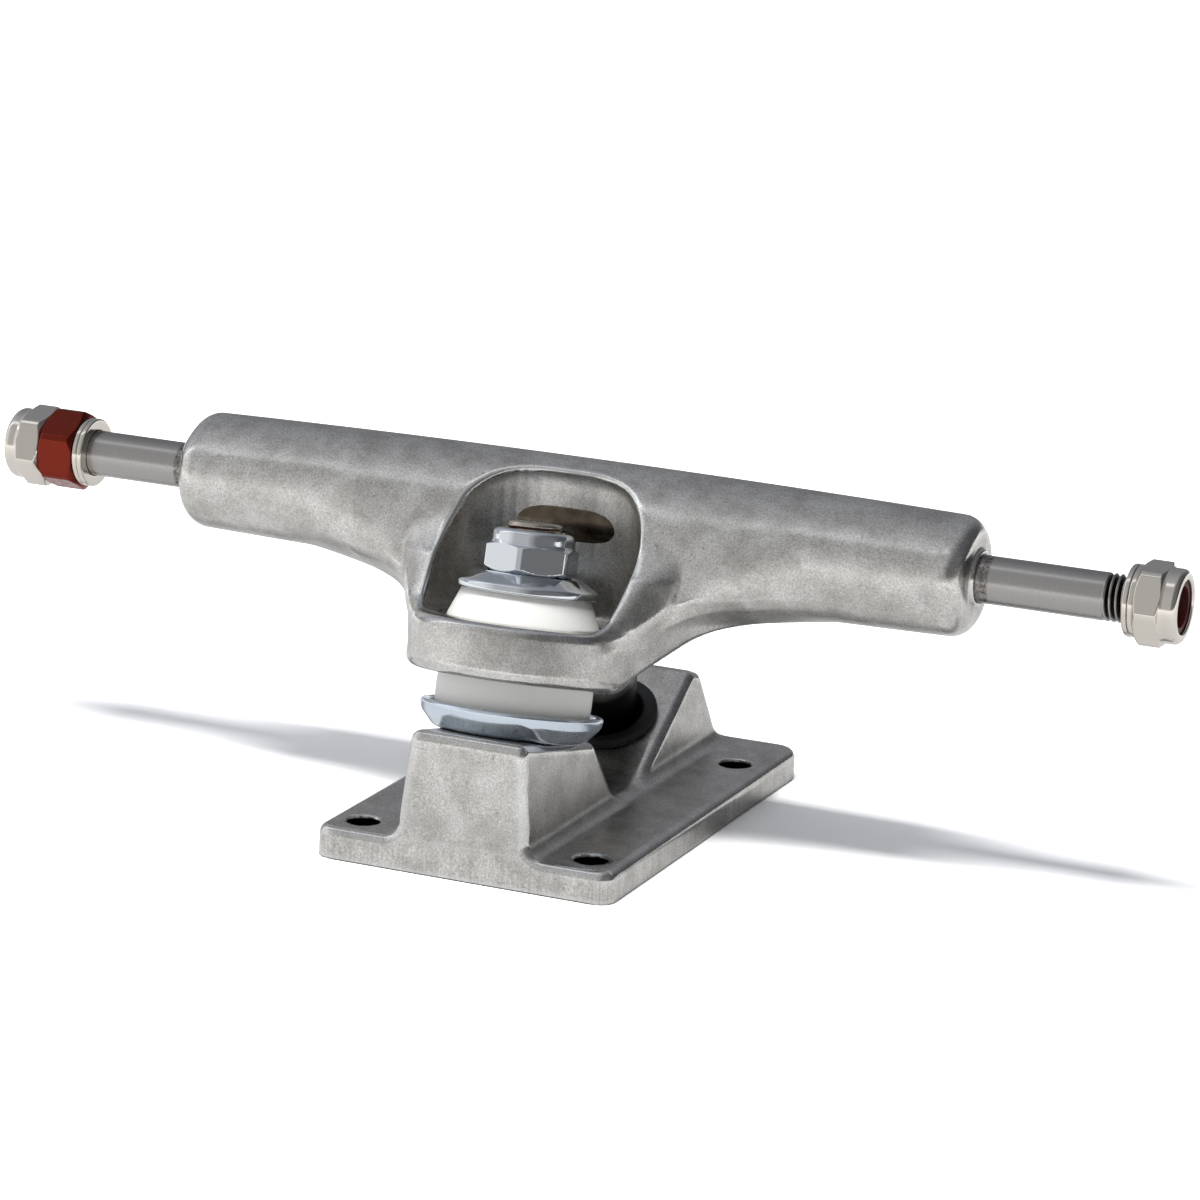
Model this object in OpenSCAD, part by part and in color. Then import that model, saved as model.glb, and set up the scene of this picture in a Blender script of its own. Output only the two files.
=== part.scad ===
// Skateboard truck, lying on its baseplate with the axle on top.
// The origin is the centre of the deck bolt pattern on the baseplate's underside.
// +X runs along the axle, +Z up, and the kingpin is on the -Y side.

/* [Deck bolts] */
// Distance between the bolt holes across the board
bolt_across = 41.275; // [36:0.005:44]
// Distance between the bolt holes along the board
bolt_along = 63.5; // [58:0.1:68]
// Diameter of each bolt hole
bolt_hole_d = 5.6; // [4.6:0.1:6.4]

/* [Baseplate] */
// Flange left outside the bolt holes at each side
flange_side = 6.1; // [5:0.1:8]
// Flange left outside the front bolt holes
flange_front = 7.1; // [5.5:0.1:9]
// Flange left outside the rear bolt holes
flange_rear = 16.7; // [13:0.1:20]
// Thickness of the flange
flange_t = 5.5; // [4:0.1:7]
// Plan radius of the flange's corners
flange_corner_r = 4; // [2:0.5:6]
// Radius along the flange's top edges
flange_edge_r = 1.1; // [0.5:0.1:2]
// Half width of both bosses at the flange
boss_half_w = 12; // [11:0.1:13]
// How far each side of a boss draws in over its height
boss_draft = 1.8; // [0.5:0.1:3]
// How far the front of the kingpin boss leans back over its height
boss_front_lean = 1.3; // [0:0.1:3]
// Length of the kingpin boss along its top
boss_top_l = 29; // [26:0.5:32]
// Fillet where the bosses rise from the flange
boss_fillet = 2.4; // [1:0.1:4]
// Radius along the top edges of the bosses
boss_edge_r = 1.6; // [0.8:0.1:2.5]
// Radius along the upright front edges of the kingpin boss
boss_corner_r = 2.4; // [1:0.1:3.5]

/* [Kingpin and bushings] */
// Lean of the kingpin towards the axle, in degrees
kingpin_lean = 12.6; // [8:0.1:18]
// Shaft diameter of the kingpin
kingpin_d = 9.5; // [9:0.05:10]
// Height of the cup washer, from its foot to its rim
low_cup_h = 4.6; // [4:0.1:6]
// Outer radius of the lower cup washer
low_cup_r = 15.5; // [14.5:0.1:16.5]
// Sheet thickness of both cup washers
cup_t = 2; // [1.5:0.1:2.4]
// Radius of the barrel bushing under the ring
low_bushing_r = 13.1; // [12.5:0.1:13.3]
// Free height of the barrel bushing
low_bushing_h = 9.5; // [8.5:0.1:11]
// Radius of the cone bushing at the ring
top_bushing_r = 13; // [12:0.1:13.2]
// Radius of the cone bushing at its washer
top_bushing_top_r = 10.3; // [9.5:0.1:10.4]
// Free height of the cone bushing
top_bushing_h = 7.6; // [7:0.1:9]
// Outer radius of the upper cup washer
top_cup_r = 11.9; // [11.5:0.1:13]
// Height of the upper cup washer
top_cup_h = 3.2; // [2.8:0.1:4]
// Width across flats of the kingpin nut
kingpin_nut_af = 14.29; // [13:0.01:15]
// Height of the kingpin nut's hexagon
kingpin_nut_hex_h = 4.7; // [4:0.1:6]
// Height of the round collar that grips the nut's insert
kingpin_nut_collar_h = 2.6; // [2:0.1:4]
// Thread left proud of the kingpin nut
kingpin_proud = 1.3; // [0.5:0.1:3]
// Thickness of the kingpin's hexagonal head
kingpin_head_h = 4.6; // [4:0.1:5.5]

/* [Hanger] */
// Height of the axle over the deck
axle_z = 52.1; // [49:0.1:56]
// Distance of the axle behind the centre of the bolt pattern
axle_y = 4.1; // [2:0.1:6]
// Length of the hanger's tube, end to end
hanger_l = 143.5; // [130:0.5:160]
// Radius of the tube at its ends
tube_end_r = 10; // [9:0.1:11]
// Radius of the tube at the middle
tube_mid_r = 10.9; // [10:0.1:12]
// Rounding of the tube's ends
tube_round = 3.5; // [1.5:0.1:4.5]
// Outer radius of the ring that the bushings clamp
ring_r = 18.6; // [17.5:0.1:20]
// Height of that ring
ring_h = 9.6; // [8.5:0.1:11]
// Thickness left between the two bushing seats
seat_web = 5.6; // [4:0.1:7]
// Radius of the hole through the ring
ring_bore_r = 9.4; // [8.5:0.1:10.5]
// Half width of the pocket round the kingpin nut
pocket_half_w = 16; // [15:0.1:17]
// Rounding of the pocket's upper corners, seen from the front
pocket_corner_r = 9; // [6:0.5:10]
// Rounding of the pocket's rear corners, seen from above
pocket_rear_r = 13.5; // [9:0.5:15]
// How deep the pocket's rear wall bares the axle
pocket_bite = 1.3; // [0.5:0.1:1.8]
// Reach of the hanger's wings along the axle, each side
wing_reach = 50; // [44:0.5:56]
// Radius of the hollow sweep from the ring to each wing
wing_sweep_r = 17; // [8:0.5:20]
// Thickness of the wings
wing_t = 7.6; // [6.5:0.1:9.5]
// Climb of the wings from the ring to the tube, in degrees
wing_climb = 27.6; // [22:0.1:33]

/* [Pivot] */
// Slope of the pivot boss's face, in degrees
pivot_slope = 28; // [22:0.5:34]
// Distance of the middle of the pivot face behind the pattern's centre
pivot_face_y = 22.1; // [20:0.1:25]
// Height of the middle of the pivot face
pivot_face_z = 13.5; // [12.5:0.1:15]
// Radius of the ball at the end of the hanger's stem
ball_r = 5; // [4.4:0.1:5.6]
// Depth of the ball's centre under the pivot face
ball_depth = 3.5; // [2.5:0.1:4]
// Outer radius of the pivot cup
cup_wall_r = 7.2; // [6.8:0.1:7.6]
// Radius of the pivot cup's lip
cup_lip_r = 8.9; // [8:0.1:9.5]
// Thickness of the pivot cup's lip
cup_lip_t = 1.5; // [0.8:0.1:2]

/* [Axle and nuts] */
// Diameter of the axle
axle_d = 7.94; // [7.8:0.01:8.1]
// Length of the axle
axle_l = 208; // [200:0.5:220]
// Length of the thread on each end of the axle
axle_thread_l = 9.8; // [8:0.1:12]
// Pitch of the threads
thread_pitch = 1.058; // [0.8:0.001:1.3]
// Depth of the threads
thread_depth = 0.55; // [0.3:0.01:0.7]
// Width across flats of the axle nuts
axle_nut_af = 12.7; // [12:0.01:14]
// Height of an axle nut's hexagon
axle_nut_hex_h = 4.4; // [4:0.1:6]
// Height of the collar that grips an axle nut's insert
axle_nut_collar_h = 2.8; // [2:0.1:3.5]
// Height of the thread chasing nut
chaser_h = 6.6; // [6:0.1:9]
// How far the right lock nut stands past the axle's end
right_nut_over = 2.9; // [0:0.1:3.2]
// How far the left lock nut stands past the axle's end
left_nut_over = 3.6; // [0:0.1:3.8]
// Outer radius of the speed washers
washer_r = 6; // [5.5:0.1:6.3]
// Thickness of a speed washer
washer_t = 0.95; // [0.7:0.01:1.3]

/* [Fits] */
// Radial clearance of a nut on its thread
thread_gap = 0.05; // [0.02:0.01:0.1]
// Radial clearance of a speed washer on the axle
washer_gap = 0.1; // [0.03:0.01:0.3]
// Clearance of the kingpin in the baseplate
kingpin_gap = 0.05; // [0.02:0.01:0.1]
// Clearance of the ball in the pivot cup
ball_gap = 0.08; // [0.04:0.01:0.1]
// Clearance of a nylon insert in its nut
insert_gap = 0.05; // [0.02:0.01:0.1]
// Gap between a bushing and what it seats on
seat_gap = 0.05; // [0.02:0.01:0.1]
// Clearance round a bushing in its seat
seat_side_gap = 0.4; // [0.2:0.05:0.6]

/* [Hidden] */
$fn = 96;
arc_steps = 6;
past = 1;

cast = "#b9b8b4";
steel = "#8f9094";
zinc = "#c3cad2";
nickel = "#c9c5be";
red_anodised = "#8f372a";
nylon = "#4a1714";
urethane = "#e6e4de";
black_urethane = "#1b1a1c";

base_half_w = bolt_across / 2 + flange_side;
base_front_y = -bolt_along / 2 - flange_front;
base_rear_y = bolt_along / 2 + flange_rear;
base_mid_y = (base_front_y + base_rear_y) / 2;
base_l = base_rear_y - base_front_y;
kingpin_r = kingpin_d / 2;
axle_r = axle_d / 2;

// Places along the kingpin, counted from the middle of the ring
seat_s = seat_web / 2;
low_bushing_s = -seat_s - seat_gap - low_bushing_h;
low_cup_floor_s = low_bushing_s - seat_gap;
boss_s = low_cup_floor_s - cup_t;
top_bushing_s = seat_s + seat_gap;
barrel_bulge_r = 40;
top_cup_inner_s = top_bushing_s + top_bushing_h + seat_gap;
kingpin_nut_s = top_cup_inner_s + cup_t;
kingpin_nut_h = kingpin_nut_hex_h + kingpin_nut_collar_h;
kingpin_end_s = kingpin_nut_s + kingpin_nut_h + kingpin_proud;

// The ring hangs in front of the axle and under it
ring_ahead = 21.1;
ring_under = 17.5;
ring_y = axle_y - ring_ahead;
ring_z = axle_z - ring_under;

// The kingpin's head sits in a pocket under the baseplate
head_af = 14.29;
head_pocket_r = 9.2;
head_recess = 1.2;
head_low_z = head_recess + head_af / sqrt(3) * sin(kingpin_lean);
head_s = (head_low_z - ring_z) / cos(kingpin_lean);
head_top_s = head_s + kingpin_head_h;

// The kingpin boss's outline, seen from the side
boss_front_y = base_front_y + boss_front_lean;
boss_back_y = boss_front_y + boss_top_l;
boss_back_run = 8;
boss_top_z = kingpin_plane_z(boss_s, boss_front_y);
valley_r = 4.5;
valley_floor_z = flange_t + 0.3;
pivot_top_z = 20.2;
pivot_back_y = 38.8;
pivot_back_run = 6;
pivot_foot_y = pivot_face_y - (pivot_face_z - valley_floor_z) / tan(pivot_slope);
pivot_top_y = pivot_face_y + (pivot_top_z - pivot_face_z) / tan(pivot_slope);

// The centre of the ball lies on the axis that the hanger steers about
ball_y = pivot_face_y + ball_depth * sin(pivot_slope);
ball_z = pivot_face_z - ball_depth * cos(pivot_slope);
cup_floor = 2;
cup_depth = ball_r + cup_floor;
stem_neck_r = 4.6;
stem_root_r = 9.4;
stem_l = 30;
cup_mouth_r = 6.6;

// The wings' slab, in the plane that climbs from the ring
wing_foot_z = ring_z - 4.1;
wing_elbow_x = 28.1;
wing_elbow_u = 18.7;
wing_tip_u = 25;
yoke_half_w = 19.5;
yoke_knee_y = axle_y - 12.6;
yoke_knee_z = axle_z - 0.4;

// The pocket's rear wall stands in front of the axle's middle
pocket_back_y = axle_y - axle_r + pocket_bite;
pocket_top_z = axle_z + tube_mid_r - 0.4;
pocket_floor_s = ring_h / 2;
tube_crown_r = 300;
ring_edge_r = 1.8;
root_collar_r = 4.8;
root_collar_l = 0.8;

nut_collar_thin = 0.6;
collar_wall = 0.9;
insert_r = axle_nut_af / 2 - nut_collar_thin - collar_wall;
kingpin_insert_r = kingpin_nut_af / 2 - nut_collar_thin - collar_wall;
collar_lip = 0.5;
nut_turn = 17.5;
chaser_turn = 13;
kingpin_nut_turn = 8.5;
axle_nut_h = axle_nut_hex_h + axle_nut_collar_h;
right_nut_x = axle_l / 2 + right_nut_over - axle_nut_h;
left_lock_x = axle_l / 2 + left_nut_over - axle_nut_h;
left_nut_x = left_lock_x - chaser_h;

function unit(v) = v / norm(v);

// Arc of radius r that rounds the corner b between the points a and c
function corner_arc(a, b, c, r) =
    let (u = unit(a - b), w = unit(c - b), half = acos(u * w) / 2)
    let (centre = b + unit(u + w) * r / sin(half))
    let (start = b + u * r / tan(half) - centre, stop = b + w * r / tan(half) - centre)
    let (from = atan2(start.y, start.x), turn = atan2(stop.y, stop.x) - from)
    let (sweep = turn > 180 ? turn - 360 : turn < -180 ? turn + 360 : turn)
    [for (i = [0 : arc_steps]) let (t = from + sweep * i / arc_steps) centre + r * [cos(t), sin(t)]];

// Outline through corners [x, y, r], each rounded by its radius r
function outline(corners) =
    let (n = len(corners))
    [for (i = [0 : n - 1])
        let (a = corners[(i + n - 1) % n], b = corners[i], c = corners[(i + 1) % n])
        each (b.z > 0 ? corner_arc([a.x, a.y], [b.x, b.y], [c.x, c.y], b.z) : [[b.x, b.y]])];

// Height of the plane across the kingpin at s, over the line y
function kingpin_plane_z(s, y) = ring_z + (s - (y - ring_y) * sin(kingpin_lean)) / cos(kingpin_lean);

module along_x(width) { rotate([90, 0, 90]) linear_extrude(width, center = true) children(); }
module along_y(depth) { rotate([90, 0, 0]) linear_extrude(depth, center = true) children(); }
module on_kingpin() { translate([0, ring_y, ring_z]) rotate([-kingpin_lean, 0, 0]) children(); }
module on_axle() { translate([0, axle_y, axle_z]) rotate([0, 90, 0]) children(); }
module on_pivot() { translate([0, ball_y, ball_z]) rotate([pivot_slope, 0, 0]) children(); }

// A shaft's end with ridges for the thread, from z = 0 up to z = l
module threaded_end(r, l) {
    turns = floor(l / thread_pitch);
    root = r - thread_depth;
    ridges = [for (i = [0 : turns - 1])
        each [[root, i * thread_pitch], [r, (i + 0.35) * thread_pitch],
              [r, (i + 0.65) * thread_pitch], [root, (i + 1) * thread_pitch]]];
    rotate_extrude() polygon(concat([[0, 0]], ridges, [[root, l], [0, l]]));
}

// A hexagon nut with a round collar, both chamfered, and a bore with room for an insert
module lock_nut(af, hex_h, collar_h, bore_r, insert_out_r) {
    corner_r = af / sqrt(3);
    chamfer = corner_r - af / 2;
    collar_r = af / 2 - 0.15;
    h = hex_h + collar_h;
    difference() {
        union() {
            intersection() {
                cylinder(r = corner_r, h = hex_h, $fn = 6);
                rotate_extrude() polygon([[0, 0], [af / 2, 0], [corner_r, chamfer],
                                          [corner_r, hex_h - chamfer], [af / 2, hex_h], [0, hex_h]]);
            }
            rotate_extrude() polygon(outline([[0, hex_h / 2, 0], [collar_r, hex_h / 2, 0],
                                              [collar_r, h, nut_collar_thin * 1.6], [0, h, 0]]));
        }
        translate([0, 0, -past]) cylinder(r = bore_r, h = h + 2 * past);
        translate([0, 0, hex_h]) cylinder(r = insert_out_r, h = collar_h - collar_lip);
        translate([0, 0, hex_h]) cylinder(r = insert_out_r - collar_wall / 2, h = collar_h + past);
    }
}

module nut_insert(out_r, in_r, hex_h, collar_h) {
    translate([0, 0, hex_h + insert_gap]) difference() {
        cylinder(r = out_r - insert_gap, h = collar_h - collar_lip - 2 * insert_gap);
        translate([0, 0, -past]) cylinder(r = in_r, h = collar_h + 2 * past);
    }
}

module speed_washer() {
    difference() {
        cylinder(r = washer_r, h = washer_t);
        translate([0, 0, -past]) cylinder(r = axle_r + washer_gap, h = washer_t + 2 * past);
    }
}

// The flange: a rounded plate whose top edges are rounded on all four sides
module flange() {
    top_z = flange_t;
    intersection() {
        translate([0, base_mid_y, 0]) linear_extrude(top_z) polygon(outline([
            [-base_half_w, -base_l / 2, flange_corner_r], [base_half_w, -base_l / 2, flange_corner_r],
            [base_half_w, base_l / 2, flange_corner_r], [-base_half_w, base_l / 2, flange_corner_r]]));
        translate([0, base_mid_y, 0]) along_y(base_l + past) polygon(outline([
            [-base_half_w, 0, 0], [base_half_w, 0, 0],
            [base_half_w, top_z, flange_edge_r], [-base_half_w, top_z, flange_edge_r]]));
        along_x(2 * base_half_w + past) polygon(outline([
            [base_front_y, 0, 0], [base_rear_y, 0, 0],
            [base_rear_y, top_z, flange_edge_r], [base_front_y, top_z, flange_edge_r]]));
    }
}

// Side view of both bosses and the valley between them
module boss_side() {
    back_top = kingpin_plane_z(boss_s, boss_back_y);
    polygon(outline([
        [base_front_y, 0, 0],
        [base_front_y, flange_t - flange_edge_r, 0],
        [boss_front_y, boss_top_z, boss_edge_r],
        [boss_back_y, back_top, boss_edge_r],
        [boss_back_y + boss_back_run, valley_floor_z, valley_r],
        [pivot_foot_y, valley_floor_z, valley_r],
        [pivot_top_y, pivot_top_z, boss_edge_r],
        [pivot_back_y, pivot_top_z - 1.2, boss_edge_r],
        [pivot_back_y + pivot_back_run, flange_t + boss_fillet, boss_fillet],
        [base_rear_y - flange_edge_r, flange_t, 0],
        [base_rear_y - flange_edge_r, 0, 0]]));
}

// End view of a boss, drawn in towards its top, with its upper edges rounded
module boss_end(top_z) {
    top_half_w = boss_half_w - boss_draft * (top_z - flange_t) / (boss_top_z - flange_t);
    polygon(outline([
        [-boss_half_w, 0, 0], [boss_half_w, 0, 0], [boss_half_w, flange_t, 0],
        [top_half_w, top_z, boss_edge_r], [-top_half_w, top_z, boss_edge_r],
        [-boss_half_w, flange_t, 0]]));
}

// Trims one upright front edge of the kingpin boss, leaning with both of its faces
module boss_corner() {
    rise = boss_top_z - flange_t;
    lean_x = -atan(boss_front_lean / rise);
    lean_y = atan(boss_draft / rise);
    clear = 0.3;
    translate([-boss_half_w - clear, base_front_y - clear, flange_t]) rotate([lean_x, lean_y, 0])
        linear_extrude(6 * rise, center = true) polygon(outline([
            [0, 0, boss_corner_r], [4 * boss_half_w, 0, 0],
            [4 * boss_half_w, 1.3 * base_l, 0], [0, 1.3 * base_l, 0]]));
}

module boss_walls() {
    intersection() {
        along_x(2 * base_half_w) boss_side();
        translate([0, base_mid_y, 0]) along_y(base_l + past) boss_end(boss_top_z + past);
        boss_corner();
        mirror([1, 0, 0]) boss_corner();
    }
}

// The fillets along the foot of both bosses
module boss_foot() {
    sunk = 0.1;
    foot_z = flange_t - sunk;
    top_z = flange_t + boss_fillet + past;
    toe = boss_half_w + boss_fillet;
    intersection() {
        along_x(2 * base_half_w) boss_side();
        translate([0, base_mid_y, 0]) along_y(base_l + past) polygon(outline([
            [-toe, 0, 0], [toe, 0, 0], [toe, foot_z, 0], [boss_half_w - sunk, foot_z, boss_fillet],
            [boss_half_w - 5 * sunk, top_z, 0], [5 * sunk - boss_half_w, top_z, 0],
            [sunk - boss_half_w, foot_z, boss_fillet], [-toe, foot_z, 0]]));
    }
}

module bosses() {
    boss_walls();
    boss_foot();
}

module baseplate() {
    color(cast) difference() {
        union() { flange(); bosses(); }
        for (x = [-1, 1], y = [-1, 1])
            translate([x * bolt_across / 2, y * bolt_along / 2, -past])
                cylinder(d = bolt_hole_d, h = flange_t + 2 * past);
        on_kingpin() translate([0, 0, head_top_s - past])
            cylinder(r = kingpin_r + kingpin_gap, h = boss_s - head_top_s + 2 * past);
        on_kingpin() translate([0, 0, head_s - head_pocket_r])
            cylinder(r = head_pocket_r, h = kingpin_head_h + head_pocket_r);
        on_pivot() translate([0, 0, -cup_depth]) cylinder(r = cup_wall_r, h = cup_depth + stem_l);
    }
}

module pivot_cup() {
    color(black_urethane) on_pivot() difference() {
        union() {
            translate([0, 0, -cup_depth]) cylinder(r = cup_wall_r, h = cup_depth + ball_depth);
            translate([0, 0, ball_depth]) cylinder(r = cup_lip_r, h = cup_lip_t);
        }
        sphere(r = ball_r + ball_gap);
        cylinder(r1 = ball_r + ball_gap, r2 = cup_mouth_r, h = ball_depth + cup_lip_t);
        translate([0, 0, ball_depth + cup_lip_t]) cylinder(r = cup_mouth_r, h = past);
    }
}

module kingpin() {
    thread_l = kingpin_end_s - top_cup_inner_s;
    color(steel) on_kingpin() {
        translate([0, 0, head_s]) cylinder(r = head_af / sqrt(3), h = kingpin_head_h, $fn = 6);
        translate([0, 0, head_s]) cylinder(r = kingpin_r, h = top_cup_inner_s - head_s);
        translate([0, 0, top_cup_inner_s]) threaded_end(kingpin_r, thread_l);
    }
}

module bottom_cup_washer() {
    foot_r = low_cup_r - 2.8;
    color(zinc) on_kingpin() translate([0, 0, boss_s]) rotate_extrude() polygon(outline([
        [kingpin_r + kingpin_gap, 0, 0], [foot_r, 0, 2], [low_cup_r - 0.3, low_cup_h - 1.6, 2],
        [low_cup_r, low_cup_h, 0.4], [low_cup_r - cup_t * 0.7, low_cup_h, 0.4],
        [foot_r + 1.0, cup_t, 1], [kingpin_r + kingpin_gap, cup_t, 0]]));
}

module top_cup_washer() {
    top_s = top_cup_h;
    color(zinc) on_kingpin() translate([0, 0, kingpin_nut_s - top_s]) rotate_extrude() polygon(outline([
        [kingpin_r + kingpin_gap, top_s - cup_t, 0], [top_cup_r - 1.3, top_s - cup_t, 0.4],
        [top_cup_r - 0.9, 0, 0.3], [top_cup_r, 0, 0.4], [top_cup_r, 1.1, 0.5],
        [top_cup_r - 3.2, top_s, 1.5], [kingpin_r + kingpin_gap, top_s, 0]]));
}

// The barrel bushing, with the spigot that centres it in the ring
module bottom_bushing() {
    spigot_r = ring_bore_r - seat_side_gap;
    spigot_h = seat_s - seat_side_gap / 2;
    inner = kingpin_r + seat_side_gap / 2;
    top = low_bushing_h;
    color(urethane) on_kingpin() translate([0, 0, low_bushing_s]) rotate_extrude() polygon(outline([
        [inner, 0, 0], [low_bushing_r - 0.1, 0, 0.8], [low_bushing_r, top / 2, barrel_bulge_r],
        [low_bushing_r - 0.1, top, 0.6], [spigot_r, top, 0], [spigot_r, top + spigot_h, 0.4],
        [inner, top + spigot_h, 0]]));
}

// The cone bushing, with the spigot that centres it in the ring
module top_bushing() {
    spigot_r = ring_bore_r - seat_side_gap;
    spigot_h = seat_s - seat_side_gap / 2;
    inner = kingpin_r + seat_side_gap / 2;
    top = top_bushing_h;
    color(urethane) on_kingpin() translate([0, 0, top_bushing_s]) rotate_extrude() polygon(outline([
        [inner, -spigot_h, 0], [spigot_r, -spigot_h, 0.4], [spigot_r, 0, 0],
        [top_bushing_r, 0, 0.5], [top_bushing_r - 0.3, 1.8, 2], [top_bushing_top_r, top, 0.6],
        [inner, top, 0]]));
}

module kingpin_nut() {
    color(zinc) on_kingpin() translate([0, 0, kingpin_nut_s]) rotate([0, 0, kingpin_nut_turn])
        lock_nut(kingpin_nut_af, kingpin_nut_hex_h, kingpin_nut_collar_h, kingpin_r + thread_gap,
                 kingpin_insert_r);
}

module kingpin_nut_insert() {
    color(nylon) on_kingpin() translate([0, 0, kingpin_nut_s])
        nut_insert(kingpin_insert_r, kingpin_r + thread_gap, kingpin_nut_hex_h, kingpin_nut_collar_h);
}

module hanger_tube() {
    half = hanger_l / 2;
    on_axle() {
        rotate_extrude() polygon(outline([
            [0, -half, 0], [tube_end_r, -half, tube_round], [tube_mid_r, 0, tube_crown_r],
            [tube_end_r, half, tube_round], [0, half, 0]]));
        cylinder(r = root_collar_r, h = hanger_l + 2 * root_collar_l, center = true);
    }
}

module hanger_ring() {
    on_kingpin() rotate_extrude() polygon(outline([
        [0, -ring_h / 2, 0], [ring_r, -ring_h / 2, ring_edge_r], [ring_r, ring_h / 2, ring_edge_r],
        [0, ring_h / 2, 0]]));
}

// Outline of the wings in their own climbing plane, swept hollow at each side
module wing_outline() {
    back = ring_ahead + tube_mid_r;
    right = [[ring_r - 1.6, -1.5, 0], [ring_r + 2.2, 3.6, 5], [wing_elbow_x, wing_elbow_u, wing_sweep_r],
             [wing_reach, wing_tip_u, 0], [wing_reach, back, 0]];
    left = [for (i = [len(right) - 1 : -1 : 0]) [-right[i].x, right[i].y, right[i].z]];
    polygon(outline(concat(right, left)));
}

// The wings: a slab that climbs from the ring to the tube
module hanger_wings() {
    translate([0, ring_y, wing_foot_z]) rotate([wing_climb, 0, 0]) linear_extrude(wing_t)
        wing_outline();
}

// The yoke round the pocket, which slopes from the tube's crown down to the ring
module hanger_yoke() {
    crown = axle_z + tube_mid_r;
    half = wing_reach * 0.7;
    yoke_foot_z = ring_z + 5.5;
    intersection() {
        along_x(2 * half) polygon(outline([
            [ring_y - 2, ring_z, 0], [axle_y, axle_z - tube_mid_r + 1, 0], [axle_y, crown, 0],
            [axle_y - 5.5, crown - 2, 3], [yoke_knee_y, yoke_knee_z, 25], [ring_y - 2.5, ring_z + 6.2, 0]]));
        translate([0, ring_y, 0]) along_y(6 * ring_r) polygon(outline([
            [-half, ring_z - ring_r, 0], [half, ring_z - ring_r, 0], [half, yoke_foot_z, 0],
            [yoke_half_w + 4, yoke_foot_z + 2, 5], [yoke_half_w, yoke_knee_z, 12],
            [yoke_half_w - 2, crown + 2, 0], [2 - yoke_half_w, crown + 2, 0],
            [-yoke_half_w, yoke_knee_z, 12], [-yoke_half_w - 4, yoke_foot_z + 2, 5],
            [-half, yoke_foot_z, 0]]));
        translate([0, ring_y, wing_foot_z]) rotate([wing_climb, 0, 0]) linear_extrude(4 * ring_r)
            wing_outline();
    }
}

// The neck behind the ring, which closes the pocket and carries the pivot stem
module hanger_neck() {
    half_w = pocket_half_w + 0.5;
    low = ring_z - ring_h / 2 / cos(kingpin_lean);
    intersection() {
        along_x(2 * half_w) polygon(outline([
            [ring_y + 4, low - 0.4, 0], [ring_y + ring_r + 1, low + 1.6, 6], [axle_y + 7, low + 8.5, 6],
            [axle_y + tube_mid_r - 1, axle_z - 4, 0], [axle_y, axle_z, 0], [ring_y + 4, ring_z, 0]]));
        translate([0, 0, ring_z - ring_r]) linear_extrude(3 * ring_r) polygon(outline([
            [-half_w, ring_y, 0], [half_w, ring_y, 0], [half_w, axle_y + 3, 8],
            [half_w - 6, axle_y + tube_mid_r, 4], [6 - half_w, axle_y + tube_mid_r, 4],
            [-half_w, axle_y + 3, 8]]));
    }
}

module hanger_stem() {
    on_pivot() {
        sphere(r = ball_r);
        cylinder(r1 = stem_neck_r, r2 = stem_root_r, h = stem_l);
    }
}

// The pocket round the kingpin nut, open to the front and bounded by the ring's top
module nut_pocket() {
    high = pocket_top_z + tube_mid_r;
    intersection() {
        translate([0, 0, ring_z - ring_r]) linear_extrude(3 * ring_r) polygon(outline([
            [-pocket_half_w, ring_y - 2 * ring_r, 0], [pocket_half_w, ring_y - 2 * ring_r, 0],
            [pocket_half_w, pocket_back_y, pocket_rear_r],
            [-pocket_half_w, pocket_back_y, pocket_rear_r]]));
        translate([0, ring_y, 0]) along_y(6 * ring_r) polygon(outline([
            [-pocket_half_w, 0, 0], [pocket_half_w, 0, 0],
            [pocket_half_w, pocket_top_z, pocket_corner_r],
            [-pocket_half_w, pocket_top_z, pocket_corner_r]]));
        on_kingpin() translate([-2 * ring_r, -4 * ring_r, pocket_floor_s])
            cube([4 * ring_r, 8 * ring_r, high]);
    }
}

module hanger() {
    color(cast) difference() {
        union() {
            hanger_tube();
            hanger_ring();
            hanger_wings();
            hanger_yoke();
            hanger_neck();
            hanger_stem();
        }
        nut_pocket();
        on_kingpin() {
            cylinder(r = ring_bore_r, h = 2 * ring_h, center = true);
            translate([0, 0, seat_s]) cylinder(r = top_bushing_r + seat_side_gap, h = ring_h);
            translate([0, 0, -seat_s - ring_h]) cylinder(r = low_bushing_r + seat_side_gap, h = ring_h);
        }
        on_axle() cylinder(r = axle_r, h = 2 * hanger_l, center = true);
    }
}

module axle() {
    plain_l = axle_l - 2 * axle_thread_l;
    color(steel) on_axle() {
        cylinder(r = axle_r, h = plain_l, center = true);
        for (side = [0, 1]) mirror([0, 0, side]) translate([0, 0, plain_l / 2])
            threaded_end(axle_r, axle_thread_l);
    }
}

module axle_lock_nut() {
    lock_nut(axle_nut_af, axle_nut_hex_h, axle_nut_collar_h, axle_r + thread_gap, insert_r);
}

module axle_nut_insert() {
    nut_insert(insert_r, axle_r - thread_depth, axle_nut_hex_h, axle_nut_collar_h);
}

module right_axle_nut() {
    color(nickel) on_axle() translate([0, 0, right_nut_x]) rotate([0, 0, nut_turn]) axle_lock_nut();
}

module right_axle_nut_insert() {
    color(nylon) on_axle() translate([0, 0, right_nut_x]) axle_nut_insert();
}

module left_axle_nut() {
    color(nickel) on_axle() mirror([0, 0, 1]) translate([0, 0, left_lock_x])
        rotate([0, 0, nut_turn]) axle_lock_nut();
}

module left_axle_nut_insert() {
    color(nylon) on_axle() mirror([0, 0, 1]) translate([0, 0, left_lock_x]) axle_nut_insert();
}

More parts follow.
